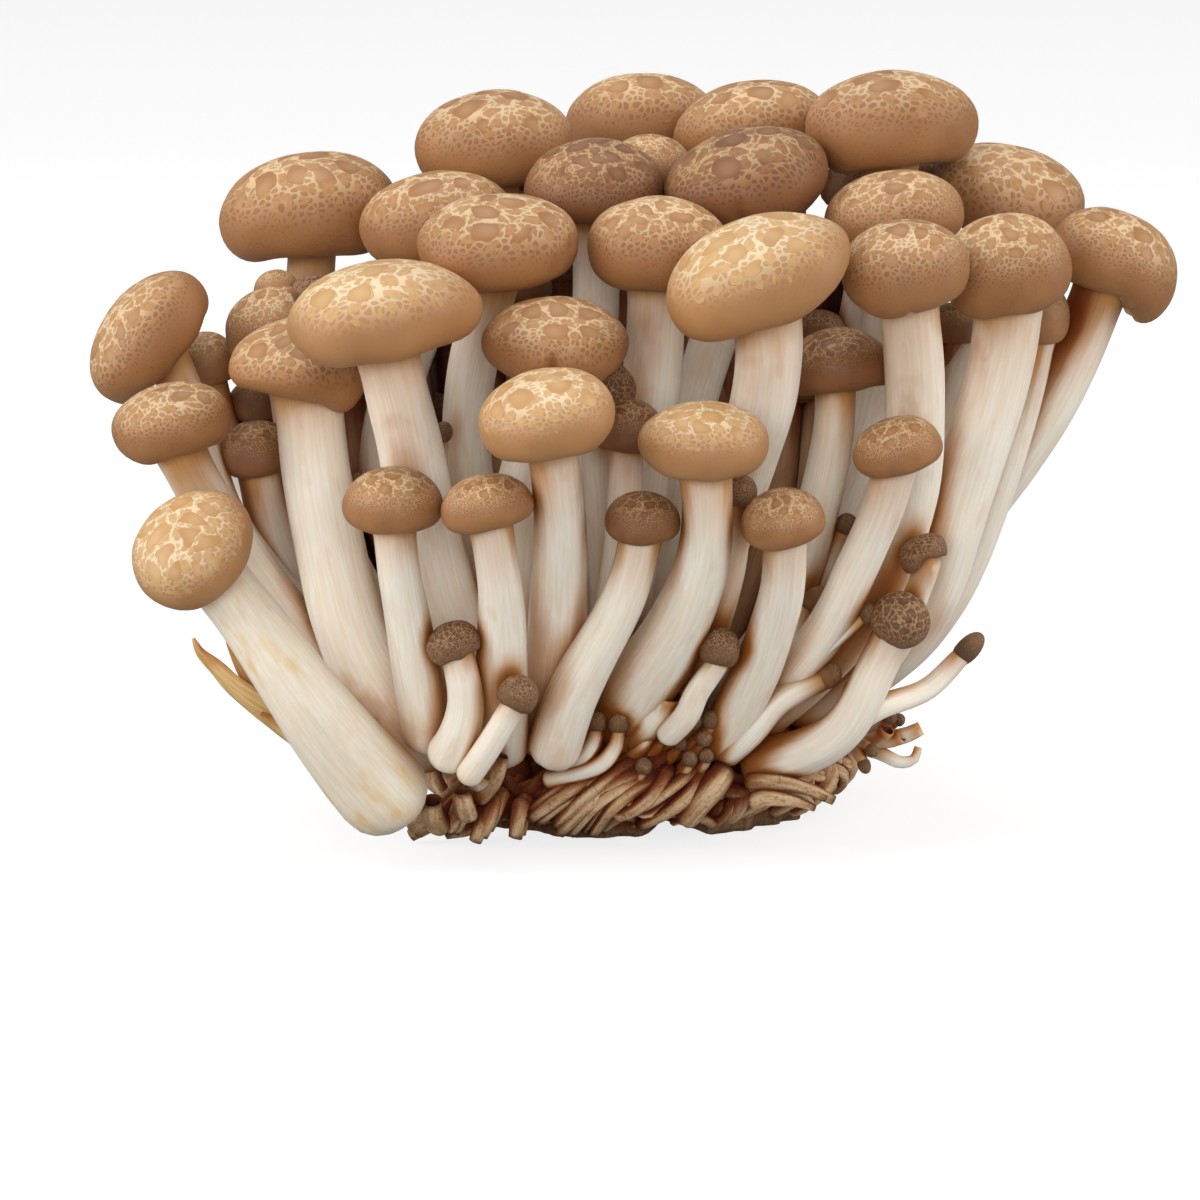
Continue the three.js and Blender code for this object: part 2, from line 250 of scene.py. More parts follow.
class Clay:
    """A mesh in the making, in millimetres, with the attributes that the finishes read.

    grain holds where a point was before the shape grew bent, reach how far along the shape it is,
    and a third attribute how closely round bodies, its own among them, stand round it, a rough
    occlusion that the finishes paint as shade.
    """

    def __init__(self) -> None:
        """Starts with nothing in it."""
        self.bm = bmesh.new()
        layers = self.bm.verts.layers
        self.grain = layers.float_vector.new("grain")
        self.reach = layers.float.new("reach")
        self.occlusion = layers.float.new("occlusion")
        self.bodies: list[tuple[Vector, float]] = []

    def turn(self, outline: Sequence[Station], sides: int, finish: int = 0,
             offset: Vector = ORIGIN) -> list[bmesh.types.BMVert]:
        """Turns an outline about the Z axis into a closed shape.

        Args:
            outline: The outline from one end on the axis to the other.
            sides: How many sides the turned shape has.
            finish: Index of the material that it takes.
            offset: Added to the grain, so that no two shapes are patterned alike.

        Returns:
            The new vertices.
        """
        bm = bmesh.new()
        layers = bm.verts.layers
        grain_layer, reach_layer = layers.float_vector.new("grain"), layers.float.new("reach")
        layers.float.new("occlusion")
        chain = []
        for station in outline:
            vert = bm.verts.new((station.out, 0, station.up))
            vert[reach_layer] = station.reach
            vert[grain_layer] = Vector((station.spread, 0, station.rise))
            chain.append(vert)
        edges = [bm.edges.new(pair) for pair in zip(chain, chain[1:])]
        bmesh.ops.spin(bm, geom=[*chain, *edges], cent=ORIGIN, axis=UP, dvec=ORIGIN,
                       angle=math.tau, steps=sides, use_merge=True)
        bmesh.ops.remove_doubles(bm, verts=bm.verts, dist=WELD)
        bmesh.ops.recalc_face_normals(bm, faces=bm.faces)
        for face in bm.faces:
            face.material_index = finish
            face.smooth = True
        for vert in bm.verts:
            angle = math.atan2(vert.co.y, vert.co.x)
            spread, _, rise = vert[grain_layer]
            vert[grain_layer] = offset + Vector(
                (spread * math.cos(angle), spread * math.sin(angle), rise))
        return self.add(bm)

    def add(self, bm: bmesh.types.BMesh) -> list[bmesh.types.BMVert]:
        """Adds a finished shape to the mesh.

        Args:
            bm: The shape, which is freed.

        Returns:
            The shape's vertices in this mesh.
        """
        count = len(self.bm.verts)
        loose = bpy.data.meshes.new("loose")
        bm.to_mesh(loose)
        bm.free()
        self.bm.from_mesh(loose)
        bpy.data.meshes.remove(loose)
        self.bm.verts.ensure_lookup_table()
        return self.bm.verts[count:]

    def carry(self, verts: Sequence[bmesh.types.BMVert], line: GrowingLine) -> None:
        """Bends vertices that stand round the Z axis along a line.

        Args:
            verts: The vertices.
            line: The line.
        """
        points = line.carry(np.array([vert.co for vert in verts], float))
        for vert, point in zip(verts, points):
            vert.co = point

    def place(self, verts: Sequence[bmesh.types.BMVert], matrix: Matrix) -> None:
        """Moves vertices as a matrix says."""
        bmesh.ops.transform(self.bm, matrix=matrix, verts=verts)


# ---- Finishes ----


class Board:
    """A board of shader nodes, with short ways to add and join them."""

    def __init__(self, owner: bpy.types.Material | bpy.types.World) -> None:
        """Clears the board of a material or of the surround.

        Args:
            owner: What the board belongs to.
        """
        owner.use_nodes = True
        self.owner = owner
        self.nodes, self.links = owner.node_tree.nodes, owner.node_tree.links
        self.nodes.clear()

    def node(self, kind: str, inputs: dict, **settings: object) -> bpy.types.Node:
        """Adds a node.

        Args:
            kind: Blender's name for the node, without ShaderNode.
            inputs: Values or sockets for its inputs, by name or number.
            settings: Values for its properties.

        Returns:
            The node.
        """
        node = self.nodes.new("ShaderNode" + kind)
        for name, value in settings.items():
            setattr(node, name, value)
        for name, value in inputs.items():
            if isinstance(value, bpy.types.NodeSocket):
                self.links.new(value, node.inputs[name])
            else:
                node.inputs[name].default_value = value
        return node

    def attribute(self, name: str, output: str = "Fac") -> bpy.types.NodeSocket:
        """Reads one of the piece's own attributes."""
        return self.node("Attribute", {}, attribute_name=name).outputs[output]

    def math(self, operation: str, first: object, second: object = 0.0) -> bpy.types.NodeSocket:
        """Works out one number from two."""
        return self.node("Math", {0: first, 1: second}, operation=operation).outputs[0]

    def plus(self, first: object, second: object) -> bpy.types.NodeSocket:
        """Adds two numbers."""
        return self.math("ADD", first, second)

    def times(self, first: object, second: object) -> bpy.types.NodeSocket:
        """Multiplies two numbers."""
        return self.math("MULTIPLY", first, second)

    def ease(self, value: object, low: float, high: float,
             start: float = 0.0, end: float = 1.0) -> bpy.types.NodeSocket:
        """Goes smoothly from start to end as a value goes from low to high."""
        inputs = {0: value, 1: low, 2: high, 3: start, 4: end}
        return self.node("MapRange", inputs, interpolation_type="SMOOTHSTEP").outputs[0]

    def mix(self, share: object, first: object, second: object,
            blend: str = "MIX") -> bpy.types.NodeSocket:
        """Mixes two colours."""
        inputs = {0: share, 6: first, 7: second}
        return self.node("Mix", inputs, data_type="RGBA", blend_type=blend).outputs[2]

    def stretched(self, vector: object, scale: Sequence[float]) -> bpy.types.NodeSocket:
        """Scales a vector along each axis."""
        return self.node("Mapping", {"Vector": vector, "Scale": scale}).outputs[0]

    def noise(self, vector: object, scale: float, detail: float = 2.0,
              output: str = "Fac") -> bpy.types.NodeSocket:
        """Adds a cloudy noise."""
        inputs = {"Vector": vector, "Scale": scale, "Detail": detail}
        return self.node("TexNoise", inputs).outputs[output]

    def cells(self, vector: object, scale: float, feature: str,
              output: str = "Distance") -> bpy.types.NodeSocket:
        """Adds a flat pattern of cells."""
        settings = {"voronoi_dimensions": "2D", "feature": feature}
        return self.node("TexVoronoi", {"Vector": vector, "Scale": scale}, **settings).outputs[output]

    def bump(self, height: object, depth: float) -> bpy.types.NodeSocket:
        """Turns a height into a bump of a depth in metres."""
        inputs = {"Height": height, "Strength": 1.0, "Distance": depth}
        return self.node("Bump", inputs).outputs[0]

    def finish(self, **inputs: object) -> bpy.types.Material:
        """Adds the shader and gives the material.

        Args:
            inputs: The shader's inputs, named with underscores for spaces.

        Returns:
            The material.
        """
        named = {name.replace("_", " "): value for name, value in inputs.items()}
        shader = self.node("BsdfPrincipled", named)
        self.node("OutputMaterial", {"Surface": shader.outputs[0]})
        return self.owner


@dataclass(frozen=True)
class CapSkin:
    """Skin of a cap: grown-apart patches on a pale net, finer towards a smooth margin, whose tone is
    in part painted shade on the lower cap, and a very edge lightened as painted bounce light.
    """

    name: str
    patch: Colour
    net: Colour
    speck: Colour
    # margin: the lower cap's own smooth tone, made darker to paint part of the shade on the lower
    # cap.
    margin: Colour
    deep: Colour
    scale: float = 4.7
    net_width: float = 0.078
    fading: float = 1.0
    roughness: float = 0.5
    gill: Colour = tint(226, 205, 176)

    def material(self) -> bpy.types.Material:
        """Builds the material.

        Returns:
            The material.
        """
        b = Board(bpy.data.materials.new(self.name))
        grain, reach = b.attribute("grain", "Vector"), b.attribute("reach")
        sway = b.node("VectorMath", {0: b.noise(grain, 2.2, 2.0, "Color"), 1: (0.5, 0.5, 0.5)},
                      operation="SUBTRACT").outputs[0]
        net = b.node("VectorMath", {0: sway, 1: (0.2, 0.2, 0.0), 2: grain},
                     operation="MULTIPLY_ADD").outputs[0]
        cloud, uneven = b.noise(grain, 1.6, 2.0), b.noise(grain, 9.0, 2.0)
        fade = b.times(reach, self.fading)

        def patches(scale: float, low: float, high: float, empty: float) -> bpy.types.NodeSocket:
            """Makes patches of one size, which shrink away down the cap.

            Args:
                scale: How small they are.
                low: Where down the cap they start to shrink.
                high: Where they are gone.
                empty: Share of them that is left out.

            Returns:
                1 inside a patch and 0 on the net.
            """
            gap = b.ease(fade, low, high, self.net_width, 0.6)
            gap = b.plus(gap, b.times(b.math("SUBTRACT", uneven, 0.5), 0.09))
            corner = b.math("MAXIMUM", b.math("SUBTRACT", b.cells(net, scale, "F1"), 0.3), 0.0)
            gap = b.plus(gap, b.times(corner, 0.62))
            inside = b.math("SUBTRACT", b.cells(net, scale, "DISTANCE_TO_EDGE"), gap)
            chosen = b.math("GREATER_THAN", b.cells(net, scale, "F1", "Color"), empty)
            return b.times(b.ease(inside, -0.01, 0.06), chosen)

        coarse = patches(self.scale, 0.34, 0.82, 0.3)
        medium = patches(self.scale * 1.9, 0.46, 0.9, 0.2)
        small = patches(self.scale * 4.3, 0.58, 1.02, 0.16)
        # Down the cap the net gives way to the margin tone, which is in part painted shade on the
        # lower cap.
        ground = b.mix(b.ease(fade, 0.28, 0.74), self.net, self.margin)
        shown = b.times(small, b.ease(fade, 0.3, 0.6, 0.45, 0.7))
        colour = b.mix(shown, ground, self.speck)
        colour = b.mix(b.times(medium, 0.8), colour, self.patch)
        tone = b.mix(b.cells(net, self.scale, "F1", "Color"), self.patch, self.deep)
        heart = b.ease(b.cells(net, self.scale, "F1"), 0.05, 0.42, 0.2, 0.0)
        colour = b.mix(coarse, colour, b.mix(heart, tone, self.net))
        smooth = b.ease(b.plus(fade, b.times(cloud, 0.22)), 0.8, 1.02)
        grains = b.ease(b.noise(grain, 34.0, 2.0), 0.52, 0.7, 0.0, 0.55)
        colour = b.mix(smooth, colour, b.mix(grains, self.margin, self.speck))
        # Painted light: the very edge of the margin is lightened towards the net colour, as if lit by
        # light bounced up from the floor.
        colour = b.mix(b.ease(reach, 0.96, 1.03, 0.0, 0.45), colour, self.net)
        colour = b.mix(b.ease(reach, 1.08, 1.16), colour, self.gill)
        colour = b.mix(b.ease(cloud, 0.3, 0.75, 0.0, 0.22), colour, self.speck, "MULTIPLY")
        height = b.plus(b.times(b.math("MAXIMUM", coarse, medium), 0.5), b.times(uneven, 0.5))
        rough = b.plus(b.times(coarse, -0.1), self.roughness + 0.06)
        return b.finish(Base_Color=colour, Roughness=rough, Normal=b.bump(height, 0.00012),
                        Specular_IOR_Level=0.4, Subsurface_Weight=0.12,
                        Subsurface_Radius=(1.0, 0.45, 0.2), Subsurface_Scale=0.0012)


@dataclass(frozen=True)
class StemFlesh:
    """Flesh of a stem: creamy, with fibres along it, stained where it is old.

    It darkens to a brown tint where other bodies crowd it and right under its cap: painted shade for
    the light that the cap and its neighbours keep off.
    """

    name: str
    flesh: Colour = tint(247, 233, 213)
    pale: Colour = tint(253, 245, 233)
    stain: Colour = tint(224, 188, 144)
    # Brown tint of the painted shade in crevices and right under the cap.
    painted_shade: Colour = tint(198, 152, 98)
    stained: float = 0.35
    hollow: Colour = tint(150, 96, 52)
    shade: float = 1.0

    def material(self) -> bpy.types.Material:
        """Builds the material.

        Returns:
            The material.
        """
        b = Board(bpy.data.materials.new(self.name))
        grain, reach = b.attribute("grain", "Vector"), b.attribute("reach")
        crowd = b.attribute("occlusion")
        fibres = b.noise(b.stretched(grain, (1, 1, 0.05)), 2.6, 4.0)
        threads = b.noise(b.stretched(grain, (1, 1, 0.03)), 7.5, 3.0)
        clouds = b.noise(b.stretched(grain, (1, 1, 0.45)), 0.32, 3.0)
        colour = b.mix(b.ease(fibres, 0.35, 0.68), self.flesh, self.pale)
        colour = b.mix(b.ease(clouds, 0.56, 0.74, 0.0, self.stained), colour, self.stain)
        old = b.times(b.ease(reach, 0.0, 0.45, 1.0, 0.0), b.ease(clouds, 0.38, 0.66))
        colour = b.mix(b.times(old, 0.32), colour, self.stain)
        colour = b.mix(b.ease(threads, 0.55, 0.8, 0.0, 0.12), colour, self.stain)
        colour = b.mix(b.ease(reach, 1.01, 1.05), colour, self.hollow)
        # Painted shade: darker right under the cap and where other bodies close in, standing in for
        # the light that the cap and the neighbours keep off.
        shade = b.times(b.ease(reach, 0.72, 0.96), b.ease(crowd, 0.0, 0.25, 0.4, 1.0))
        shades = (b.times(shade, self.shade), b.ease(crowd, 0.24, 0.86), b.ease(crowd, 0.6, 0.95))
        for share in shades:
            colour = b.mix(share, colour, self.painted_shade, "MULTIPLY")
        height = b.plus(b.times(fibres, 0.7), b.times(threads, 0.3))
        return b.finish(Base_Color=colour, Roughness=0.56, Normal=b.bump(height, 0.00009),
                        Specular_IOR_Level=0.35, Subsurface_Weight=0.35,
                        Subsurface_Radius=(1.0, 0.6, 0.35), Subsurface_Scale=0.0016)


@dataclass(frozen=True)
class RootMass:
    """The fused base: beige strands, brown in their creases with painted shade where bodies close in,
    with pale crust and ochre grains.
    """

    name: str
    strand: Colour = tint(188, 146, 104)
    pale: Colour = tint(226, 196, 156)
    crease: Colour = tint(104, 60, 32)
    ochre: Colour = tint(186, 136, 66)
    # Brown tint of the painted shade where bodies close in.
    painted_shade: Colour = tint(176, 122, 82)

    def material(self) -> bpy.types.Material:
        """Builds the material.

        Returns:
            The material.
        """
        b = Board(bpy.data.materials.new(self.name))
        grain, reach = b.attribute("grain", "Vector"), b.attribute("reach")
        crowd = b.attribute("occlusion")
        fibres = b.noise(b.stretched(grain, (1, 1, 0.12)), 1.6, 4.0)
        clouds = b.noise(grain, 0.35, 4.0)
        grit = b.noise(grain, 2.4, 5.0)
        colour = b.mix(b.ease(fibres, 0.3, 0.7), self.strand, self.pale)
        colour = b.mix(b.ease(clouds, 0.5, 0.75, 0.0, 0.5), colour, self.ochre)
        colour = b.mix(b.ease(grit, 0.52, 0.72, 0.0, 0.55), colour, self.crease)
        colour = b.mix(b.ease(reach, 0.86, 1.0, 0.0, 0.7), colour, self.crease)
        # Painted shade where strands and other bodies close in round a point.
        for share in (b.ease(crowd, 0.08, 0.7), b.ease(crowd, 0.5, 1.0)):
            colour = b.mix(share, colour, self.painted_shade, "MULTIPLY")
        height = b.plus(b.times(fibres, 0.6), b.times(grit, 0.4))
        return b.finish(Base_Color=colour, Roughness=0.75, Normal=b.bump(height, 0.0006),
                        Specular_IOR_Level=0.25)


class Finish(Enum):
    """The finishes of the cluster's pieces."""

    # The margin colours, the fourth colour of each cap skin, are darker than the margins' own tone,
    # to paint part of the shade on the lower caps.
    PALE_CAP = CapSkin("pale_cap_skin", tint(206, 162, 106), tint(238, 214, 174),
                       tint(176, 126, 76), tint(182, 134, 87), tint(193, 146, 90))
    GOLDEN_CAP = CapSkin("golden_cap_skin", tint(184, 134, 84), tint(228, 196, 152),
                         tint(140, 92, 52), tint(168, 118, 73), tint(160, 110, 64))
    BROWN_CAP = CapSkin("brown_cap_skin", tint(146, 96, 57), tint(200, 162, 116),
                        tint(102, 60, 33), tint(140, 92, 55), tint(122, 76, 43))
    DARK_CAP = CapSkin("dark_cap_skin", tint(118, 76, 46), tint(184, 146, 106), tint(86, 52, 31),
                       tint(128, 86, 54), tint(96, 60, 36), scale=4.4, net_width=0.09,
                       fading=0.55, roughness=0.65)
    STEM = StemFlesh("creamy_stem_flesh")
    YELLOWED_STEM = StemFlesh("yellowed_stem_flesh", tint(240, 226, 202), tint(247, 238, 222),
                              tint(232, 194, 126), stained=0.7, shade=0.15)
    DRIED_STEM = StemFlesh("dried_stem_flesh", tint(206, 164, 98), tint(226, 196, 142),
                           tint(150, 96, 48), tint(206, 150, 96), 0.8)
    # Painted shade: a darker, browner copy of the stem flesh for the stems deep inside the cluster,
    # where little light reaches.
    SHADED_STEM = StemFlesh("shaded_stem_flesh", tint(190, 146, 108), tint(206, 166, 128),
                            tint(166, 116, 76), tint(180, 126, 84))
    ROOT = RootMass("root_mass")

    def material(self) -> bpy.types.Material:
        """Gives the finish's material, made once."""
        return bpy.data.materials.get(self.value.name) or self.value.material()


# ---- Pieces ----


class Slot(Enum):
    """The material slots."""

    CAP = "cap_skin"
    STEM = "stem_flesh"
    YOUNG = "young_flesh"
    BASE = "base_mass"


@dataclass
class Piece:
    """A finished mesh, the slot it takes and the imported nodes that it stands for."""

    name: str
    clay: Clay
    finishes: Sequence[Finish]
    slot: Slot
    stands_for: Sequence[str] = ()

    def publish(self) -> None:
        """Puts the piece in the scene on its body."""
        bm = self.clay.bm
        bmesh.ops.scale(bm, vec=Vector((MM, MM, MM)), verts=bm.verts)
        mesh = bpy.data.meshes.new(self.name)
        bm.to_mesh(mesh)
        bm.free()
        for finish in self.finishes:
            mesh.materials.append(finish.material())
        piece = bpy.data.objects.new(self.name, mesh)
        bpy.context.scene.collection.objects.link(piece)
        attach(piece, BODY)
        if self.stands_for:
            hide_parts(*self.stands_for)
        log.info("%s: %d faces", self.name, len(mesh.polygons))


class Occlusion:
    """How closely the round bodies of all mushrooms and strands stand round a point, as a rough
    occlusion that the finishes paint as shade.

    REACH is how far off a body still counts, NEAREST the least distance from a body's middle as a
    share of its size, DEPTH how fast crowding deepens and BATCH how many points go at a time.
    """

    REACH = 11.0
    NEAREST = 0.6
    DEPTH = 0.8
    BATCH = 8192

    def __init__(self, pieces: Sequence[Piece]) -> None:
        """Gathers the round bodies.

        Args:
            pieces: All pieces of the cluster, in millimetres.
        """
        rows = [(*middle, size) for piece in pieces for middle, size in piece.clay.bodies]
        self.rows = np.array(rows, np.float32)

    def mark(self, clay: Clay) -> None:
        """Writes the crowding of each of a mesh's points.

        Args:
            clay: The mesh, in millimetres.
        """
        clay.bm.normal_update()
        verts = list(clay.bm.verts)
        points = np.array([vert.co for vert in verts], np.float32)
        normals = np.array([vert.normal for vert in verts], np.float32)
        low, high = points.min(0) - self.REACH, points.max(0) + self.REACH
        inside = (self.rows[:, :3] > low) & (self.rows[:, :3] < high)
        rows = self.rows[inside.all(1)]
        places, sizes = rows[:, :3].T, rows[:, 3]
        batches = []
        for part in range(0, len(points), self.BATCH):
            point, normal = points[part:part + self.BATCH], normals[part:part + self.BATCH]
            ahead = normal @ places - (normal * point).sum(1)[:, None]
            square = (point ** 2).sum(1)[:, None] + (places ** 2).sum(0) - 2 * point @ places
            square = np.maximum(square, (self.NEAREST * sizes) ** 2)
            share = np.maximum(ahead, 0) / np.sqrt(square) * sizes ** 2 / square
            batches.append((share * (square < self.REACH ** 2)).sum(1))
        amounts = 1 - np.exp(-self.DEPTH * np.concatenate(batches))
        for vert, amount in zip(verts, amounts):
            vert[clay.occlusion] = float(amount)


# ---- Caps and stems ----


@dataclass(frozen=True)
class Detail:
    """How finely a mushroom is made."""

    cap_sides: int
    dome_steps: int
    stem_sides: int
    ring_gap: float


FINE = Detail(128, 26, 40, 1.1)
MEDIUM = Detail(88, 20, 32, 0.9)
SMALL = Detail(36, 9, 16, 0.8)


@dataclass(frozen=True)
class Touch:
    """One touch to a cap: where it is, how far it spreads and how it moves the skin.

    bearing and width are degrees round the cap, and reach is 0 at the top and 1 at the margin,
    with depth as its spread. out and lift are shares of the cap's radius.
    """

    bearing: float
    width: float
    reach: float
    depth: float
    out: float
    lift: float


@dataclass(frozen=True)
class CapForm:
    """Proportions of a cap and how uneven it is.

    fullness is the power of its rounded outline. equator and hollow are shares of its height, and
    margin, oval and wave are shares of its radius.
    """

    fullness: float = 2.08
    equator: float = 0.4
    margin: float = 0.33
    hollow: float = 0.24
    oval: float = 0.03
    wave: float = 0.035
    touches: Sequence[Touch] = ()


OPENED = CapForm()
DRIED = CapForm(margin=0.12, oval=0.09, wave=0.14)
CLOSED = CapForm(equator=0.32, margin=0.3, hollow=0.16, oval=0.02, wave=0.02)


@dataclass
class Cap:
    """The cap of one mushroom.

    WIDEST, MARGIN and GILLS are the reach at the widest part, at the margin and where the gills
    start. GILL_DEPTH is a share of the height, and ROLL and LUMP are shares of the radius.
    """

    foot: Vector
    axis: Vector
    radius: float
    height: float
    form: CapForm
    detail: Detail
    seed: int

    WIDEST = 0.78
    MARGIN = 1.0
    GILLS = 1.12
    GILL_DEPTH = 0.055
    ROLL = 0.045
    LUMP = 0.02
    CORE_BODIES = ((0.55, 0.45), (0.3, 0.3))
    RIM_BODIES = 10

    def outline(self) -> list[Station]:
        """Works out the outline from the top to the middle of the underside.

        Returns:
            The stations, their reach 0 at the top, 1 at the margin and more under it.
        """
        f, r, h, steps = self.form, self.radius, self.height, self.detail.dome_steps
        power = 2 / f.fullness
        points = []
        for i in range(steps + 1):
            turn = i / steps * math.pi / 2
            rise = f.equator + (1 - f.equator) * math.cos(turn) ** power
            reach = self.WIDEST * i / steps
            points.append((math.sin(turn) ** power, max(rise, f.equator), reach))
        under = max(steps // 3, 3)
        for i in range(1, under + 1):
            turn = i / under * math.pi / 2
            out = 1 - f.margin * (1 - math.cos(turn))
            reach = self.WIDEST + (self.MARGIN - self.WIDEST) * i / under
            points.append((out, f.equator * (1 - math.sin(turn)), reach))
        for i in range(1, 4):
            turn = i / 3 * math.pi
            out = 1 - f.margin - self.ROLL * (1 - math.cos(turn))
            up = self.ROLL * math.sin(turn) * 0.4 + i * 0.008
            points.append((out, up, self.MARGIN + (self.GILLS - self.MARGIN) * i / 3))
        inner, floor = points[-1][0], points[-1][1]
        for i in range(1, 8):
            share = i / 7
            up = floor + (f.hollow - floor) * math.sin(share * 1.5)
            points.append((inner * (1 - share), up, self.GILLS + share))
        stations, spread = [], 0.0
        for i, (out, up, reach) in enumerate(points):
            if i == 1:
                spread = out
            elif i > 1:
                step = math.hypot(out - points[i - 1][0], (up - points[i - 1][1]) * h / r)
                spread *= math.exp(min(step / max((out + points[i - 1][0]) / 2, 0.3), 0.6))
            stations.append(Station(out * r, up * h, reach, min(spread, 9.0), 0.0))
        return stations

    def build(self, clay: Clay, finish: int = 0) -> None:
        """Turns the cap, works it uneven and sets it on its stem.

        Args:
            clay: The mesh that it is made in.
            finish: Index of its material.
        """
        rng = random.Random(self.seed)
        offset = Vector((rng.uniform(-40, 40), rng.uniform(-40, 40), 0))
        verts = clay.turn(self.outline(), self.detail.cap_sides, finish, offset)
        phases = [rng.uniform(0, math.tau) for _ in range(6)]
        self._work(clay, verts, phases)
        turn = UP.rotation_difference(self.axis).to_matrix().to_4x4()
        clay.place(verts, Matrix.Translation(self.foot) @ turn)
        self._crowd(clay)

    def _crowd(self, clay: Clay) -> None:
        """Notes the round bodies that fill the cap: two in its middle and a ring in its rim.

        Args:
            clay: The mesh that it is made in.
        """
        for share, size in self.CORE_BODIES:
            middle = self.foot + self.axis * (share * self.height)
            clay.bodies.append((middle, size * (self.radius + self.height) / 1.2))
        for i in range(self.RIM_BODIES):
            angle = math.tau * i / self.RIM_BODIES
            out = Vector((math.cos(angle), math.sin(angle), 0)) * (self.radius * 0.68)
            place = out + UP * (0.36 * self.height)
            place.rotate(UP.rotation_difference(self.axis))
            clay.bodies.append((self.foot + place, 0.34 * self.height))

    def _work(self, clay: Clay, verts: Sequence[bmesh.types.BMVert],
              phases: Sequence[float]) -> None:
        """Makes the turned cap uneven, as a grown one is.

        Args:
            clay: The mesh that it is made in.
            verts: The cap's vertices, still round the Z axis.
            phases: Six angles that set where it bulges and waves.
        """
        form, spacing = self.form, math.tau / self.detail.cap_sides
        lump = self.LUMP * self.radius

        def waves(angle: float, turns: Sequence[tuple[int, float]], start: int) -> float:
            """Adds up waves round the cap, each with its count and its share."""
            return sum(share * math.cos(count * angle + phases[start + i])
                       for i, (count, share) in enumerate(turns))

        for vert in verts:
            x, y, z = vert.co
            reach, angle = vert[clay.reach], math.atan2(y, x)
            out = math.hypot(x, y)
            oval = form.oval * waves(angle, ((2, 1.0), (3, 0.6), (5, 0.25)), 0)
            wave = form.wave * waves(angle, ((2, 1.0), (3, 0.6), (6, 0.3)), 3)
            scale = 1 + oval * ease(reach, 0.35, 1.0)
            lift = wave * self.radius * ease(reach, 0.45, 1.0) * ease(out, 0.1, 0.6 * self.radius)
            for touch in form.touches:
                turn = (math.degrees(angle) - touch.bearing + 180) % 360 - 180
                near = math.exp(-(turn / touch.width) ** 2
                                - ((min(reach, 1.1) - touch.reach) / touch.depth) ** 2)
                scale += touch.out * near
                lift += touch.lift * near * self.radius
            place = Vector((x, y, z)) / (0.55 * self.radius) + Vector(phases[:3])
            puff = noise.noise(place) * lump + noise.noise(place * 4) * lump * 0.12
            if reach > self.GILLS:
                column = round(angle / spacing) % 2
                comb = ease(reach, self.GILLS, 1.3) * ease(reach, 1.8, 1.3)
                z += (column - 0.5) * 2 * self.GILL_DEPTH * self.height * comb
                puff *= 0.3
            direction = Vector((x, y, z - 0.3 * self.height)).normalized()
            vert.co = Vector((x * scale, y * scale, z + lift)) + direction * puff


@dataclass
class Stem:
    """The stem of one mushroom, or any strand that grew along a line.

    blunt and flare shape its foot and top, lumps, FURROWS and OVAL make it uneven, flatness
    squeezes it, and cup is how deep its open end is, in millimetres.
    """

    line: GrowingLine
    detail: Detail
    seed: int
    blunt: float = 0.85
    flare: float = 0.1
    lumps: float = 0.05
    flatness: float = 1.0
    cup: float = 0.0

    FOOT_STEPS = 5
    FURROWS = 0.035
    OVAL = 0.045
    CUP_OUTLINE = ((0.84, 0.02), (0.7, 0.4), (0.5, 0.85), (0.25, 1.0), (0.0, 1.0))

    def outline(self) -> list[Station]:
        """Works out the outline from the foot to the top.

        Returns:
            The stations, their reach 0 at the foot and 1 at the top.
        """
        length, gap = self.line.length, self.detail.ring_gap
        foot = self.line.girth_at(0)
        dome = self.blunt * foot
        turns = (i / self.FOOT_STEPS * math.pi / 2 for i in range(self.FOOT_STEPS + 1))
        ups = [dome * (1 - math.cos(turn)) for turn in turns]
        count = max(int((length - dome) / gap), 3)
        ups += [dome + (length - dome) * (i + 1) / count for i in range(count)]
        stations = []
        for up in ups:
            girth = self.line.girth_at(up)
            if up < dome:
                girth *= math.sqrt(1 - (1 - up / dome) ** 2)
            girth *= 1 + self.flare * ease(up, length - 1.6 * foot, length)
            stations.append(Station(girth, up, up / length, girth, up))
        if not self.cup:
            return [*stations, Station(0.0, length, 1.0, 0.0, length)]
        rim = stations[-1].out
        for inward, down in self.CUP_OUTLINE:
            depth = down * self.cup
            stations.append(Station(inward * rim, length - depth, 1.02 + down * 0.1, rim, length))
        return stations

    def build(self, clay: Clay, finish: int = 0) -> None:
        """Turns the stem, works it uneven and bends it along its line.

        Args:
            clay: The mesh that it is made in.
            finish: Index of its material.
        """
        rng = random.Random(self.seed)
        offset = Vector([rng.uniform(-60, 60) for _ in range(3)])
        verts = clay.turn(self.outline(), self.detail.stem_sides, finish, offset)
        phase = rng.uniform(0, math.tau)
        shift = Vector([rng.uniform(-9, 9) for _ in range(3)])
        for vert in verts:
            x, y, z = vert.co
            angle, out = math.atan2(y, x), math.hypot(x, y)
            if out < 1e-6:
                continue
            across, along = math.cos(angle), math.sin(angle)
            lump = noise.noise(Vector((across, along, z / 9)) + shift) * self.lumps
            furrow = noise.noise(Vector((across * 3.4, along * 3.4, z / 22)) + shift)
            oval = self.OVAL * math.cos(2 * angle + phase + z * 0.05)
            scale = 1 + lump + oval + furrow * self.FURROWS
            vert.co = Vector((x * scale, y * scale * self.flatness, z))
        clay.carry(verts, self.line)
        step = max(self.line.girth_at(0) * 0.8, 1.0)
        for distance in np.arange(step, self.line.length, step):
            place = self.line.carry(np.array([[0.0, 0.0, distance]]))[0]
            clay.bodies.append((Vector(place), self.line.girth_at(float(distance))))


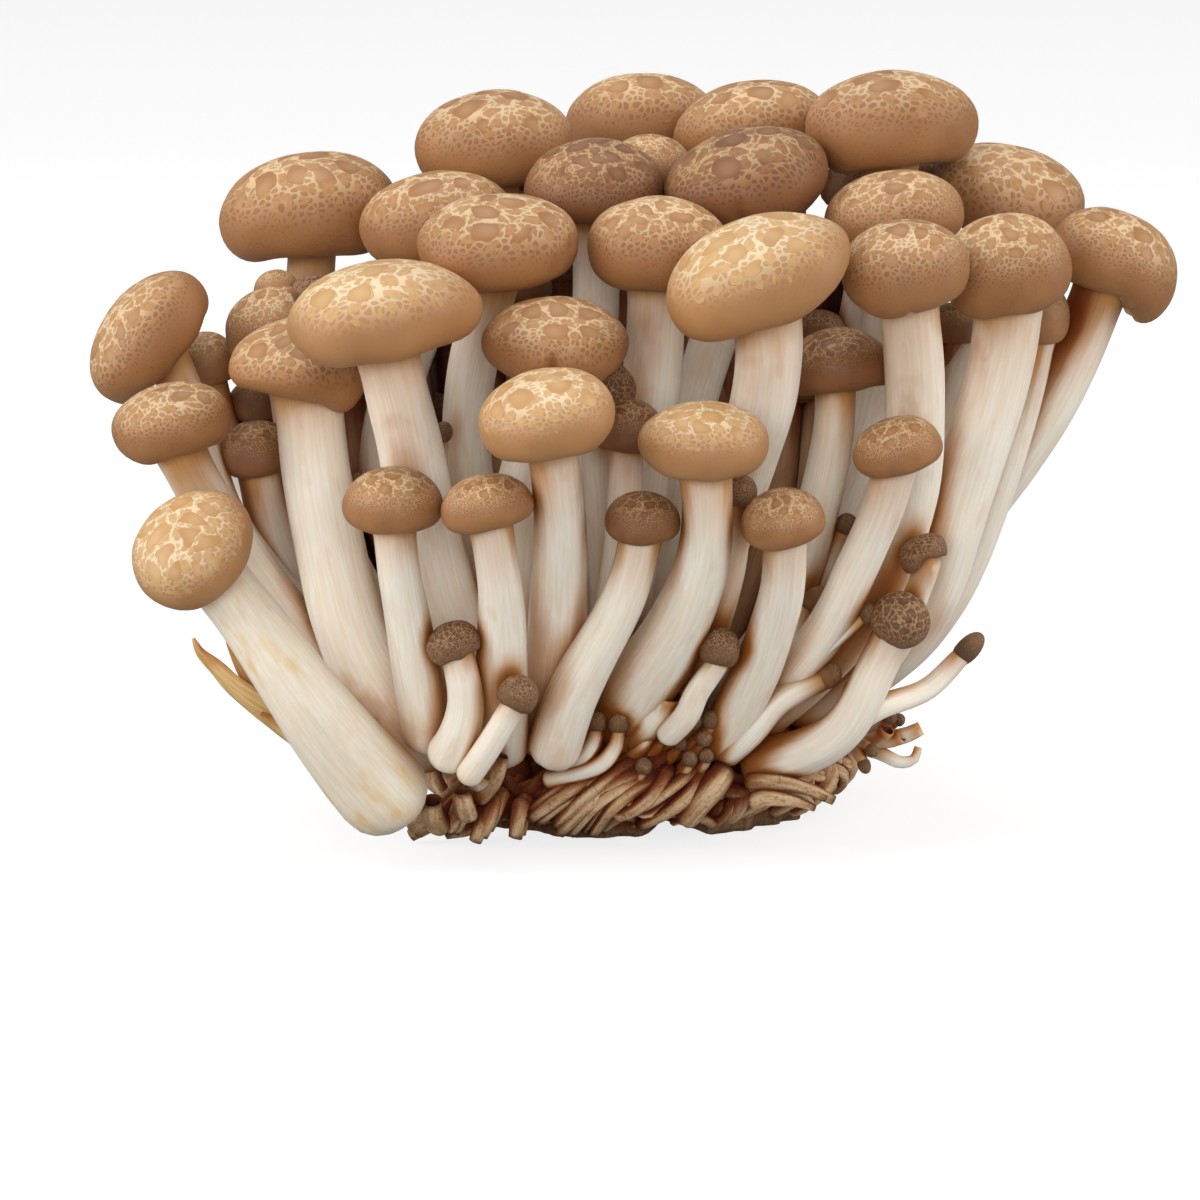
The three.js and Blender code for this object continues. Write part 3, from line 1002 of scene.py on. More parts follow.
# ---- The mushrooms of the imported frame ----


CAP_SKINS = {
    Finish.PALE_CAP: {"cap_03", "cap_06", "cap_15", "cap_21", "cap_22"},
    Finish.BROWN_CAP: {"cap_12", "young_02", "young_04", "young_08", "young_09", "young_13"},
    Finish.DARK_CAP: {"young_15"},
}
YELLOWED = {"stem_03"}
FATTENED = 0.3

CAP_FORMS: dict[str, CapForm] = {
    "cap_05": CapForm(oval=0.05, wave=0.08, touches=(
        Touch(312, 24, 1.0, 0.35, 0.06, -0.26), Touch(200, 30, 0.95, 0.3, 0.02, -0.05),
        Touch(255, 22, 1.0, 0.3, -0.03, 0.1))),
    "cap_06": CapForm(touches=(
        Touch(0, 24, 0.95, 0.4, 0.1, -0.06), Touch(184, 10, 1.0, 0.25, 0.06, 0.03))),
    "cap_09": CapForm(touches=(
        Touch(318, 5, 0.82, 0.07, -0.05, -0.05), Touch(338, 6, 0.72, 0.07, -0.05, -0.03))),
    "cap_12": CapForm(touches=(
        Touch(262, 4, 1.0, 0.16, -0.12, 0.1), Touch(276, 6, 1.02, 0.12, 0.03, -0.05))),
    "cap_15": CapForm(oval=0.04, touches=(
        Touch(190, 60, 1.0, 0.5, 0.04, -0.12), Touch(5, 60, 1.0, 0.5, 0.02, 0.12),
        Touch(285, 35, 0.9, 0.4, 0.02, 0.03))),
    "cap_16": CapForm(touches=(
        Touch(270, 3.5, 1.04, 0.1, -0.08, 0.09), Touch(240, 40, 1.0, 0.4, 0.03, -0.08))),
    "cap_17": CapForm(wave=0.05, touches=(
        Touch(285, 30, 1.0, 0.4, 0.02, -0.16), Touch(215, 25, 1.0, 0.3, 0.0, 0.04))),
    "cap_19": CapForm(wave=0.06, touches=(
        Touch(345, 40, 1.0, 0.35, 0.1, -0.14), Touch(275, 28, 1.0, 0.3, 0.02, 0.12),
        Touch(300, 4, 1.02, 0.12, 0.05, -0.07))),
    "cap_20": CapForm(touches=(
        Touch(268, 4, 1.0, 0.3, -0.2, 0.16), Touch(328, 7, 1.0, 0.16, 0.06, 0.1),
        Touch(300, 16, 1.0, 0.3, 0.02, -0.06))),
    "young_09": CapForm(margin=0.22, touches=(
        Touch(352, 20, 1.0, 0.4, 0.28, -0.12), Touch(188, 30, 1.0, 0.3, 0.04, -0.04))),
}


def cap_finish(node: str) -> Finish:
    """Chooses a cap's skin."""
    chosen = (skin for skin, nodes in CAP_SKINS.items() if node in nodes)
    return next(chosen, Finish.GOLDEN_CAP)


def number_of(node: str) -> int:
    """Gives the number that a node's name ends with."""
    return int(node.rsplit("_", 1)[1])


def stem_line(rings: Sequence[Ring], end: Vector, girth: float) -> GrowingLine:
    """Lays a stem's line through the rings of a packed one.

    Args:
        rings: The stem's rings from its foot up.
        end: Where the line ends, inside the cap.
        girth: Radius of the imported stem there.

    Returns:
        The line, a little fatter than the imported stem.
    """
    foot = (rings[0].middle, rings[2].radius)
    above = ((ring.middle, ring.radius) for ring in rings[3:])
    knots = [(*place, radius + FATTENED) for place, radius in (foot, *above, (end, girth))]
    return GrowingLine(eased(knots))


@dataclass
class GrownMushroom:
    """A mushroom with an opened cap, a packed cap and a packed stem."""

    number: int

    def pieces(self) -> list[Piece]:
        """Builds the cap and the stem.

        Returns:
            The two pieces.
        """
        cap_node, stem_node = f"cap_{self.number:02}", f"stem_{self.number:02}"
        rings = rings_of(cap_node)
        under, top = rings[0].middle, rings[-1].middle
        axis = (top - under).normalized()
        height = (top - under).length / (1 - OPENED.hollow)
        foot = under - axis * (OPENED.hollow * height)
        radius = max(ring.radius for ring in rings)
        form = CAP_FORMS.get(cap_node, OPENED)
        cap = Clay()
        Cap(foot, axis, radius, height, form, FINE, 100 + self.number).build(cap)
        stem = Clay()
        rings = rings_of(stem_node)
        end = rings[-1].middle + axis * (0.1 * height)
        line = stem_line(rings[:-1], end, rings[-2].radius)
        Stem(line, FINE, 200 + self.number).build(stem)
        flesh = Finish.YELLOWED_STEM if stem_node in YELLOWED else Finish.STEM
        return [
            Piece(f"opened_cap_{self.number:02}", cap, [cap_finish(cap_node)], Slot.CAP, [cap_node]),
            Piece(f"grown_stem_{self.number:02}", stem, [flesh], Slot.STEM, [stem_node]),
        ]


@dataclass
class YoungMushroom:
    """A mushroom whose cap is still closed, packed as one solid."""

    number: int

    CAP_RINGS = 6

    def pieces(self) -> list[Piece]:
        """Builds the mushroom.

        Returns:
            Its one piece.
        """
        node = f"young_{self.number:02}"
        rings = rings_of(node)
        edge, top = rings[-self.CAP_RINGS], rings[-1].middle
        axis = (top - edge.middle).normalized()
        height = (top - edge.middle).length
        clay = Clay()
        form = CAP_FORMS.get(node, CLOSED)
        Cap(edge.middle, axis, rings[1 - self.CAP_RINGS].radius, height, form, MEDIUM,
            300 + self.number).build(clay)
        end = edge.middle + axis * (0.3 * height)
        neck = -self.CAP_RINGS - 1
        line = stem_line(rings[:neck], end, rings[neck].radius)
        Stem(line, MEDIUM, 400 + self.number).build(clay, 1)
        return [Piece(f"young_mushroom_{self.number:02}", clay,
                      [cap_finish(node), Finish.STEM], Slot.YOUNG, [node])]


# ---- The smallest mushrooms ----


@dataclass(frozen=True)
class SmallMushroom:
    """A small mushroom that isn't packed.

    cap is the middle of its cap, size the cap's radius and height, girth the stem's radius at the
    foot and at the top, and stem the points that the stem passes from the cap down.
    """

    name: str
    cap: tuple[float, float, float]
    size: tuple[float, float]
    girth: tuple[float, float]
    stem: Sequence[tuple[float, float, float]]
    skin: Finish = Finish.DARK_CAP
    form: CapForm = CLOSED

    def build(self, clay: Clay, seed: int, finish: int = 0, flesh: int = 1) -> None:
        """Builds it in a mesh.

        Args:
            clay: The mesh.
            seed: Seed of its unevenness.
            finish: Index of the cap's material.
            flesh: Index of the stem's material.
        """
        radius, height = self.size
        middle = Vector(self.cap)
        axis = (middle - Vector(self.stem[0])).normalized()
        foot = middle - axis * (height / 2)
        Cap(foot, axis, radius, height, self.form, SMALL, seed).build(clay, finish)
        way = [Vector(point) for point in reversed(self.stem)] + [foot + axis * (0.3 * height)]
        last = len(way) - 1
        low, high = self.girth
        knots = [(*point, low + (high - low) * i / last) for i, point in enumerate(way)]
        Stem(GrowingLine(knots), SMALL, seed + 1, flare=0.0).build(clay, flesh)


SMALL_MUSHROOMS = [
    SmallMushroom("long_right", (45.5, -20, 27), (1.6, 4.6), (1.9, 1.1),
                  [(44, -20.5, 25.5), (39.5, -22, 21.5), (33, -26, 20), (29, -27, 18)]),
    SmallMushroom("curled_right", (38.5, -25, 41.5), (3.3, 3.4), (2.0, 1.6),
                  [(39.3, -25, 39.5), (37.5, -24, 34), (35, -23, 27), (29, -22, 20)], form=DRIED),
    SmallMushroom("netted_front", (11.5, -33, 30), (2.7, 4.8), (1.9, 1.5),
                  [(11, -33, 27.5), (8.5, -32, 23.5), (7, -31, 20), (4, -28, 16)]),
    SmallMushroom("slim_right", (25, -18, 33), (2.0, 3.8), (1.6, 1.1),
                  [(23.5, -18, 31), (22, -19, 26), (19.5, -21, 20.5), (15.5, -22, 14.5)],
                  Finish.BROWN_CAP),
    SmallMushroom("low_right", (26.5, -24, 24), (1.8, 3.0), (2.2, 1.4),
                  [(25.5, -24, 23.5), (19.5, -25, 20.5), (15.5, -25, 16), (11.5, -23, 12)],
                  Finish.BROWN_CAP),
    SmallMushroom("dried_left", (-24, -38, 32), (3.4, 4.4), (2.9, 1.9),
                  [(-23.2, -38, 30), (-22.2, -37.5, 23.5), (-23.5, -36.5, 18), (-26, -35, 14)],
                  form=DRIED),
    SmallMushroom("notched_left", (-15, -41, 25.5), (2.7, 4.4), (2.0, 1.5),
                  [(-16, -41, 23.5), (-19, -39.5, 18), (-22.5, -37, 12.5)]),
    SmallMushroom("bud_right", (31.5, -27, 33), (1.4, 2.6), (1.2, 0.9),
                  [(30, -27, 32), (26, -26.5, 28.5), (22.5, -25, 25), (17, -22, 18.5)]),
    SmallMushroom("shaded_middle", (-3.5, -22, 63.5), (4.2, 5.0), (2.0, 1.8),
                  [(-4.5, -21, 61), (-5, -18, 53.5), (-4.5, -15, 43.5), (-3, -12, 22)]),
    SmallMushroom("tucked_right", (14, -35, 51.5), (2.2, 3.6), (1.6, 1.2),
                  [(14, -34, 49), (13.5, -31, 41), (11.5, -29, 32.5), (8, -24, 20)]),
    SmallMushroom("dark_bud_right", (29, -13, 42.5), (1.6, 2.8), (1.5, 1.1),
                  [(28, -13, 39.5), (25.5, -12, 31.5), (21.5, -12, 20.5)]),
    SmallMushroom("dark_bud_left", (-25.5, -17, 56), (1.3, 2.6), (1.3, 1.0),
                  [(-26, -16, 54), (-26, -14, 43), (-22, -10, 22)]),
    SmallMushroom("tucked_left_tan", (-49, 3, 72.5), (3.2, 4.6), (1.8, 1.4),
                  [(-48.5, 3, 69), (-47, 2, 57), (-44.5, 0, 43), (-34, -2, 24), (-22, -2, 12)],
                  Finish.GOLDEN_CAP),
    SmallMushroom("tucked_left_dark", (-44, -2, 73), (2.6, 3.8), (1.6, 1.2),
                  [(-44, -2, 69.5), (-43, -3, 57.5), (-38, -3, 36), (-24, -3, 14)]),
]


PINS = [
    SmallMushroom("curved", (-5, -27, 18.3), (1.4, 2.5), (1.3, 1.0),
                  [(-5.1, -27, 16.8), (-5.4, -27, 15.4), (-7.2, -26.5, 13.2), (-12, -23, 11.5)]),
    SmallMushroom("curved_under", (-2, -27.4, 18.2), (1.4, 2.5), (1.4, 1.0),
                  [(-2.1, -27.4, 16.4), (-2.6, -27.5, 14.6), (-5, -27, 12), (-12, -23, 9)]),
    SmallMushroom("behind", (0.2, -25.5, 18.2), (1.2, 2.2), (1.0, 0.8),
                  [(0, -25, 17), (-1, -24, 14.5), (-3, -22, 12)]),
    SmallMushroom("middle", (2.6, -26.5, 17.8), (1.5, 2.5), (1.1, 0.9),
                  [(2.3, -26, 16.5), (1, -25, 14), (-2, -22, 11)]),
    SmallMushroom("pair_left", (8, -26.5, 18.5), (1.4, 2.4), (1.0, 0.8),
                  [(7.4, -26, 17), (5, -24.5, 15), (2, -22, 13)]),
    SmallMushroom("pair_right", (10.4, -26.5, 18.5), (1.2, 2.3), (1.0, 0.8),
                  [(10, -26, 17), (8.5, -25, 15), (5, -22, 12)]),
    SmallMushroom("low_middle", (4.2, -26, 16.0), (1.0, 1.8), (0.9, 0.7),
                  [(3.8, -25.5, 15), (2.5, -24, 13.2), (0, -22, 11)]),
    SmallMushroom("ochre", (6.4, -26, 15.0), (0.9, 1.7), (0.8, 0.7),
                  [(6, -25.5, 14), (5, -24, 12.5), (3, -22, 10)], Finish.BROWN_CAP),
    SmallMushroom("dark_right", (9.5, -27, 16), (1.15, 1.9), (0.8, 0.7),
                  [(9.2, -26.4, 15), (8, -25, 13), (6, -22, 10)]),
    SmallMushroom("dark_low_left", (7.6, -27, 13.2), (1.1, 1.9), (0.8, 0.7),
                  [(7.4, -26.4, 12), (6.5, -25, 10.5), (5, -22, 8)]),
    SmallMushroom("dark_low_right", (9.8, -27, 13.6), (1.0, 1.7), (0.8, 0.7),
                  [(9.6, -26.4, 12.4), (9, -25, 11), (8, -22, 8)]),
    SmallMushroom("dark_lowest", (1.4, -27, 12.2), (1.15, 2.0), (0.8, 0.7),
                  [(1.2, -26.4, 11), (0.5, -25, 9.5), (-1, -22, 8)]),
    SmallMushroom("left_end", (-19.4, -31, 12.2), (0.9, 1.7), (1.2, 0.9),
                  [(-19.8, -30.6, 11.4), (-20.6, -28, 9.5), (-21, -24, 7)]),
    SmallMushroom("hanging_upper", (32.2, -23.5, 13.3), (0.9, 1.7), (0.9, 0.7),
                  [(31.6, -23, 13.8), (29.5, -21, 14), (26, -19, 13)]),
    SmallMushroom("hanging_lower", (31.2, -24, 11.2), (0.9, 1.9), (0.9, 0.7),
                  [(30.8, -23.6, 12.2), (29.5, -21, 13.2), (26, -19, 12)]),
    SmallMushroom("cluster_top", (34.8, -20, 17.2), (1.0, 1.6), (0.9, 0.8),
                  [(34.4, -19.6, 16.4), (32.5, -18.5, 15), (28, -18, 13.5)]),
    SmallMushroom("cluster_back", (36.2, -17, 16.2), (0.9, 1.5), (0.8, 0.7),
                  [(35.6, -17, 15.6), (33, -17, 14.6), (28, -17, 13.5)]),
]


@dataclass
class Pins:
    """The pins: very small mushrooms that never grew, in the front and beside the base."""

    def pieces(self) -> list[Piece]:
        """Builds all pins.

        Returns:
            Their one piece.
        """
        clay = Clay()
        for i, row in enumerate(PINS):
            row.build(clay, 500 + 2 * i)
        return [Piece("pins", clay, [Finish.DARK_CAP, Finish.STEM], Slot.YOUNG)]


@dataclass
class InnerMushrooms:
    """The mushrooms that stayed small inside the cluster and at its back.

    inner, upper and back count those at half height, under the top caps and behind. GAPS lists the
    middles of the caps that fill gaps. BATCH of them make a piece, and a piece whose first cap is
    beyond SHADED_TO has creamy stems.
    """

    inner: int = 24
    upper: int = 18
    back: int = 12

    BATCH = 8
    SHADED_TO = 25

    GAPS = ((40, 14, 64), (46, 16, 60), (33, 24, 76), (27, 20, 74), (20, 26, 78), (-52, 8, 56),
            (-32, 18, 70), (-20, 24, 76), (50, 22, 62), (-10, 28, 76), (8, 28, 78), (36, 8, 58),
            (31, 24, 84), (43, 27, 85), (-15.5, 24, 81), (45, 13, 66), (26, 12, 65), (20, 27, 80),
            (3, 25, 81), (-47, 14, 66))

    def pieces(self) -> list[Piece]:
        """Builds them from the front to the back.

        Returns:
            The pieces.
        """
        rng = random.Random(31)
        rows = []
        for i in range(self.inner):
            side = -40 + 80 * (i + 0.5) / self.inner + rng.uniform(-1.5, 1.5)
            depth = 4 + 22 * (i * 7 % self.inner) / self.inner
            top = rng.uniform(50, 64) - 0.006 * side * side
            rows.append(self.row(rng, side, depth, top))
        for i in range(self.upper):
            side = -42 + 84 * (i + 0.5) / self.upper + rng.uniform(-1.5, 1.5)
            depth = 12 + 18 * (i * 5 % self.upper) / self.upper
            top = rng.uniform(69, 76) - 0.008 * side * side
            rows.append(self.row(rng, side, depth, top))
        for i in range(self.back):
            side = -34 + 66 * (i + 0.5) / self.back + rng.uniform(-2, 2)
            top = rng.uniform(28, 56) - 0.008 * side * side
            rows.append(self.row(rng, side, rng.uniform(28, 38), top))
        rows += [self.row(rng, *place) for place in self.GAPS]
        rows.sort(key=lambda row: row.cap[1])
        made = []
        for start in range(0, len(rows), self.BATCH):
            clay, batch = Clay(), rows[start:start + self.BATCH]
            for i, row in enumerate(batch):
                row.build(clay, 900 + 2 * (start + i))
            # Pieces at or in front of SHADED_TO take the shaded stem flesh, painted shade for stems
            # deep inside the cluster.
            flesh = Finish.STEM if batch[0].cap[1] > self.SHADED_TO else Finish.SHADED_STEM
            made.append(Piece(f"inner_mushrooms_{start // self.BATCH + 1}", clay,
                              [Finish.BROWN_CAP, flesh], Slot.YOUNG))
        return made

    @staticmethod
    def row(rng: random.Random, side: float, depth: float, top: float) -> SmallMushroom:
        """Works out one mushroom.

        Args:
            rng: Source of its small differences.
            side: X of its cap.
            depth: Y of its cap.
            top: Height of its cap's middle.

        Returns:
            The mushroom.
        """
        radius, girth = rng.uniform(3.6, 4.8), rng.uniform(2.6, 3.3)
        way = [(side, depth, top - 2.4), (side * 0.92, depth * 0.95, top * 0.68),
               (side * 0.68, depth * 0.75, top * 0.4), (side * 0.42, depth * 0.5, 8)]
        return SmallMushroom("inner", (side, depth, top), (radius, radius * 1.3),
                             (girth * 1.15, girth * 0.8), way)


@dataclass
class SmallMushrooms:
    """The small mushrooms listed in SMALL_MUSHROOMS, each its own piece."""

    def pieces(self) -> list[Piece]:
        """Builds them.

        Returns:
            The pieces.
        """
        made = []
        for i, row in enumerate(SMALL_MUSHROOMS):
            clay = Clay()
            row.build(clay, 600 + 2 * i)
            made.append(Piece(f"small_{row.name}", clay, [row.skin, Finish.STEM], Slot.YOUNG))
        return made


# ---- The base ----


@dataclass
class RootBase:
    """The base of fused stem feet and strands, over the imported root_base.

    squareness is how boxy its profile is; strands and stubs are counts. The front is split at
    SPLIT degrees round it over SPLIT_WIDTH degrees.
    """

    node: str = "root_base"
    squareness: float = 3.0
    strands: int = 150
    stubs: int = 90
    middle: Vector = field(init=False)
    half: Vector = field(init=False)
    height: float = field(init=False)

    CORE_SIDES = 180
    CORE_STEPS = 30
    SPREAD = 28
    SPLIT = -78
    SPLIT_WIDTH = 7
    STRAND_KNOTS = 6
    STUB_KNOTS = 4

    def __post_init__(self) -> None:
        """Takes the base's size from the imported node."""
        low, high = (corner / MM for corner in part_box(self.node))
        self.middle, self.half, self.height = (low + high) / 2, (high - low) / 2, high.z

    def flare(self, height: float) -> float:
        """Gives how far the base widens at a height, as a share of its packed width."""
        return 0.9 + 0.17 * ease(height, 0.0, 7.0) - 0.1 * ease(height, 9.0, 15.0)

    def on_skin(self, bearing: float, down: float) -> Vector:
        """Gives a point of the base's skin.

        Args:
            bearing: Degrees round the base, 0 right and 270 front.
            down: Degrees down from the middle of the top, to 90 at the floor.

        Returns:
            The point.
        """
        power = 2 / self.squareness
        out = max(math.sin(math.radians(down)), 0) ** power
        height = max(math.cos(math.radians(down)), 0) ** power * self.height
        out *= self.flare(height)
        turn = math.radians(bearing)
        return Vector((self.middle.x + out * self.half.x * math.cos(turn),
                       self.middle.y + out * self.half.y * math.sin(turn), height))

    def pieces(self) -> list[Piece]:
        """Builds the core, the strands and stubs all round it and those of the front."""
        return [self.core(), self.strand_piece(), self.stub_piece(), self.front_piece()]

    def core(self) -> Piece:
        """Builds the lumpy core, flat underneath.

        Returns:
            The piece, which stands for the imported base.
        """
        middle, half = self.middle, self.half
        power, steps = 2 / self.squareness, self.CORE_STEPS
        outline = [Station(out, 0, 1.0, self.SPREAD * out, 0) for out in (0.0, 0.5, 0.75, 0.88)]
        for i in range(steps + 1):
            turn = (1 - i / steps) * math.pi / 2
            out, up = math.sin(turn) ** power, max(math.cos(turn), 0) ** power
            outline.append(Station(out, up, 1 - up * 0.6, out * self.SPREAD, up * self.SPREAD / 2))
        clay = Clay()
        for vert in clay.turn(outline, self.CORE_SIDES):
            x, y, z = vert.co
            angle = math.atan2(y, x)
            rough = noise.noise(Vector((x * 5, y * 5, z * 2.5))) * 0.06
            rough += noise.noise(Vector((x * 15, y * 15, z * 7))) * 0.03
            streak = noise.noise(Vector((math.cos(angle) * 9, math.sin(angle) * 9, z * 0.7)))
            scale = self.flare(z * self.height) - 0.03 + (rough + streak * 0.05)
            lift = noise.noise(Vector((x * 4, y * 4, 7))) * 1.6 * ease(z, 0.2, 0.8)
            aside = (math.degrees(angle) - self.SPLIT) / self.SPLIT_WIDTH
            split = math.exp(-aside ** 2) * ease(-y, 0.62, 0.9)
            vert.co = Vector((middle.x + x * scale * half.x,
                              middle.y + y * (scale - 0.16 * split) * half.y,
                              z * self.height * 0.96 + lift + 2.2 * split * (1 - z)))
        return Piece("root_core", clay, [Finish.ROOT], Slot.BASE, [self.node])

    def strand_piece(self) -> Piece:
        """Builds the fused strands all round.

        Returns:
            Their one piece.
        """
        clay, rng = Clay(), random.Random(77)
        for i in range(self.strands):
            bearing = 360 * i / self.strands + rng.uniform(-5, 5)
            start = rng.uniform(34, 66)
            end = min(start + rng.uniform(16, 46), rng.uniform(82, 88))
            sweep = rng.choice((-1, -1, 1)) * rng.uniform(2, 26)
            girth, hook = rng.uniform(0.6, 1.5), rng.uniform(-5, 5)
            knots = []
            for share in np.linspace(0, 1, self.STRAND_KNOTS).tolist():
                turn = bearing - sweep * share ** 1.4 + hook * math.sin(share * math.pi * 1.5)
                place = self.on_skin(turn, start + (end - start) * share)
                outward = Vector((place.x, place.y, 4)).normalized()
                place += outward * girth * (0.1 + 0.55 * math.sin(share * math.pi))
                place.z = max(place.z, girth + 0.1)
                knots.append((*place, girth * (0.55 + 0.5 * math.sin(share * 2.4))))
            Stem(GrowingLine(knots[::-1]), SMALL, 700 + i, flare=0.0, lumps=0.3,
                 flatness=rng.uniform(0.55, 0.95)).build(clay)
        return Piece("root_strands", clay, [Finish.ROOT], Slot.BASE)

    def stub_piece(self) -> Piece:
        """Builds the short stubs that poke out of the base.

        Returns:
            Their one piece.
        """
        clay, rng = Clay(), random.Random(91)
        for i in range(self.stubs):
            bearing, down = 360 * i / self.stubs + rng.uniform(-4, 4), rng.uniform(40, 84)
            root, girth = self.on_skin(bearing, down), rng.uniform(0.7, 1.6)
            outward = Vector((root.x, root.y, 0)).normalized()
            lean = Vector((rng.uniform(-0.7, 0.7), rng.uniform(-0.5, 0.5), rng.uniform(-0.5, 1.1)))
            way, length = outward * 0.7 + lean, rng.uniform(2.0, 5.0)
            knots = []
            for share in np.linspace(0, 1, self.STUB_KNOTS).tolist():
                place = root - outward * 1.6 + way * (length * share) + UP * (0.8 * share * share)
                place.z = max(place.z, girth + 0.1)
                knots.append((*place, girth * (1.1 - 0.4 * share)))
            Stem(GrowingLine(knots), SMALL, 860 + i, flare=0.0, lumps=0.25,
                 flatness=rng.uniform(0.6, 1), cup=rng.choice((0, 0, 0, 0.8))).build(clay)
        return Piece("root_stubs", clay, [Finish.ROOT], Slot.BASE)

    def front_piece(self) -> Piece:
        """Builds the strands that fan out and hook over in front.

        Returns:
            Their one piece.
        """
        clay, rng = Clay(), random.Random(17)
        for i, strand in enumerate(FRONT_STRANDS):
            for copy in range(strand.copies):
                shift = Vector((rng.uniform(-1, 1), rng.uniform(0, 1), rng.uniform(-1, 1)))
                strand.build(clay, 1100 + 10 * i + copy, shift * (1.3 if copy else 0.0))
        return Piece("root_front_strands", clay, [Finish.ROOT], Slot.BASE)


@dataclass(frozen=True)
class Strand:
    """A strand, stub or scrap: its way from its free end to where it is fused, and its girths."""

    way: Sequence[tuple[float, float, float]]
    tip: float
    root: float
    flatness: float = 0.8
    copies: int = 1
    cup: float = 0.0
    lumps: float = 0.2

    def build(self, clay: Clay, seed: int, shift: Vector = ORIGIN, finish: int = 0) -> None:
        """Builds it in a mesh.

        Args:
            clay: The mesh.
            seed: Seed of its unevenness.
            shift: Moved by this.
            finish: Index of its material.
        """
        last = len(self.way) - 1
        knots = [(*(Vector(point) + shift), self.root + (self.tip - self.root) * i / last)
                 for i, point in enumerate(reversed(self.way))]
        Stem(GrowingLine(knots), SMALL, seed, flare=0.0, lumps=self.lumps,
             flatness=self.flatness, cup=self.cup).build(clay, finish)


FRONT_STRANDS = [
    Strand([(-10.5, -24, 3.2), (-6, -26.5, 8), (-1, -25, 11.5), (3.5, -23, 13)], 0.8, 1.3, copies=3),
    Strand([(-8.5, -23, 1.8), (-4.5, -26.5, 7), (0.5, -25.5, 10), (4, -23.5, 12)], 0.8, 1.3,
           copies=3),
    Strand([(-5.5, -22.5, 1.6), (-3, -26.5, 6), (1, -26, 9), (4.5, -24, 10)], 0.8, 1.2, copies=2),
    Strand([(-14, -25, 4.2), (-9, -26, 8), (-4, -24.5, 10.5), (1, -22, 13)], 0.8, 1.3, copies=3),
    Strand([(-1.5, -26, 7.5), (1, -26.4, 6.3), (4.5, -26.5, 8.5), (7.5, -25.5, 11), (9, -23.5, 14)],
           0.7, 1.1, copies=2),
    Strand([(1, -24, 3.2), (4.5, -26, 5.5), (8, -26, 8.5), (9.5, -24, 11.5)], 0.9, 1.3, copies=2),
    Strand([(-3, -25.5, 7), (-2, -26, 5), (2, -27, 7.5), (5, -25, 11.5)], 0.7, 1.1, copies=2),
    Strand([(12.4, -25, 11.2), (11, -26.5, 9.5), (9, -26, 7), (6.5, -24, 3.5)], 1.7, 1.9, cup=1.4),
    Strand([(24.5, -24, 5.5), (21.5, -26, 7), (17.5, -26.5, 7.5), (15.5, -26, 6.5)], 0.5, 1.6, 0.45),
    Strand([(26, -24.5, 7), (22, -25.5, 9), (18, -25.5, 9.5), (15, -24, 9)], 0.6, 1.4, 0.6,
           copies=3),
    Strand([(-27, -30, 8), (-27, -29, 6), (-26, -25, 3)], 1.5, 1.7, 1.0, cup=1.2),
    Strand([(-17.5, -33, 15), (-18, -32.5, 13.5), (-19, -30, 11), (-21.5, -26, 7.5)], 0.9, 1.7,
           cup=0.8),
    Strand([(-23, -30.5, 9.5), (-22.8, -30, 8), (-22.4, -27, 5)], 1.2, 1.7, 0.9, cup=0.7),
    Strand([(-16, -25.5, 1.8), (-15.6, -25.8, 4), (-15, -24, 7)], 0.9, 1.3, 0.6, copies=3),
    Strand([(-20.5, -25.5, 2), (-19.6, -26, 4.4), (-18.5, -24, 7.4)], 0.9, 1.4, 0.6, copies=3),
    Strand([(-25, -25, 2.6), (-24, -26, 4.6), (-22.5, -24, 7.4)], 0.9, 1.4, 0.6, copies=3),
    Strand([(-29.5, -22, 1.6), (-26, -22.5, 4), (-21, -19, 7), (-14, -16, 9)], 0.9, 2.0, copies=5),
    Strand([(-25, -21, 1.5), (-21, -22, 3), (-16, -20, 6)], 0.8, 1.8, copies=5),
]

SCRAPS = [
    Strand([(-58.5, -31, 30.5), (-57.5, -31, 28.5), (-55.5, -31, 26.6), (-52.5, -31, 23.5),
            (-46.5, -30, 19), (-38, -26, 12)], 0.25, 2.6, 0.4),
    Strand([(-54.5, -30, 31.5), (-53, -30, 28), (-51, -30, 24.5), (-47.5, -30, 20),
            (-40, -26, 14)], 0.25, 2.2, 0.35),
    Strand([(-49.5, -31, 20.5), (-46.5, -31, 18), (-44, -30, 16), (-38, -27, 13)], 0.5, 1.8, 0.5),
    Strand([(39, -19, 15.4), (37, -19, 14.4), (34, -18.5, 13.6), (28, -18, 13)], 0.9, 1.3),
    Strand([(38.6, -20, 13), (38, -20.4, 11.4), (36, -20.4, 11), (33, -19.5, 12.2), (28, -18, 13)],
           0.5, 1.1),
    Strand([(34.4, -20.6, 15.6), (33.6, -20, 14.4), (31.5, -19, 13.5), (27, -18, 12.5)], 1.1, 1.2,
           1.0, cup=0.7),
    Strand([(36.4, -20.2, 14.6), (35.2, -19.8, 13.9), (32, -19, 13.3), (27, -18, 12.5)], 1.0, 1.1,
           1.0, cup=0.7),
    Strand([(4.6, -27.6, 22.2), (4, -27, 20), (2.5, -26, 18), (-0.5, -22, 14)], 2.5, 2.2, 0.95,
           cup=1.6, lumps=0.1),
]


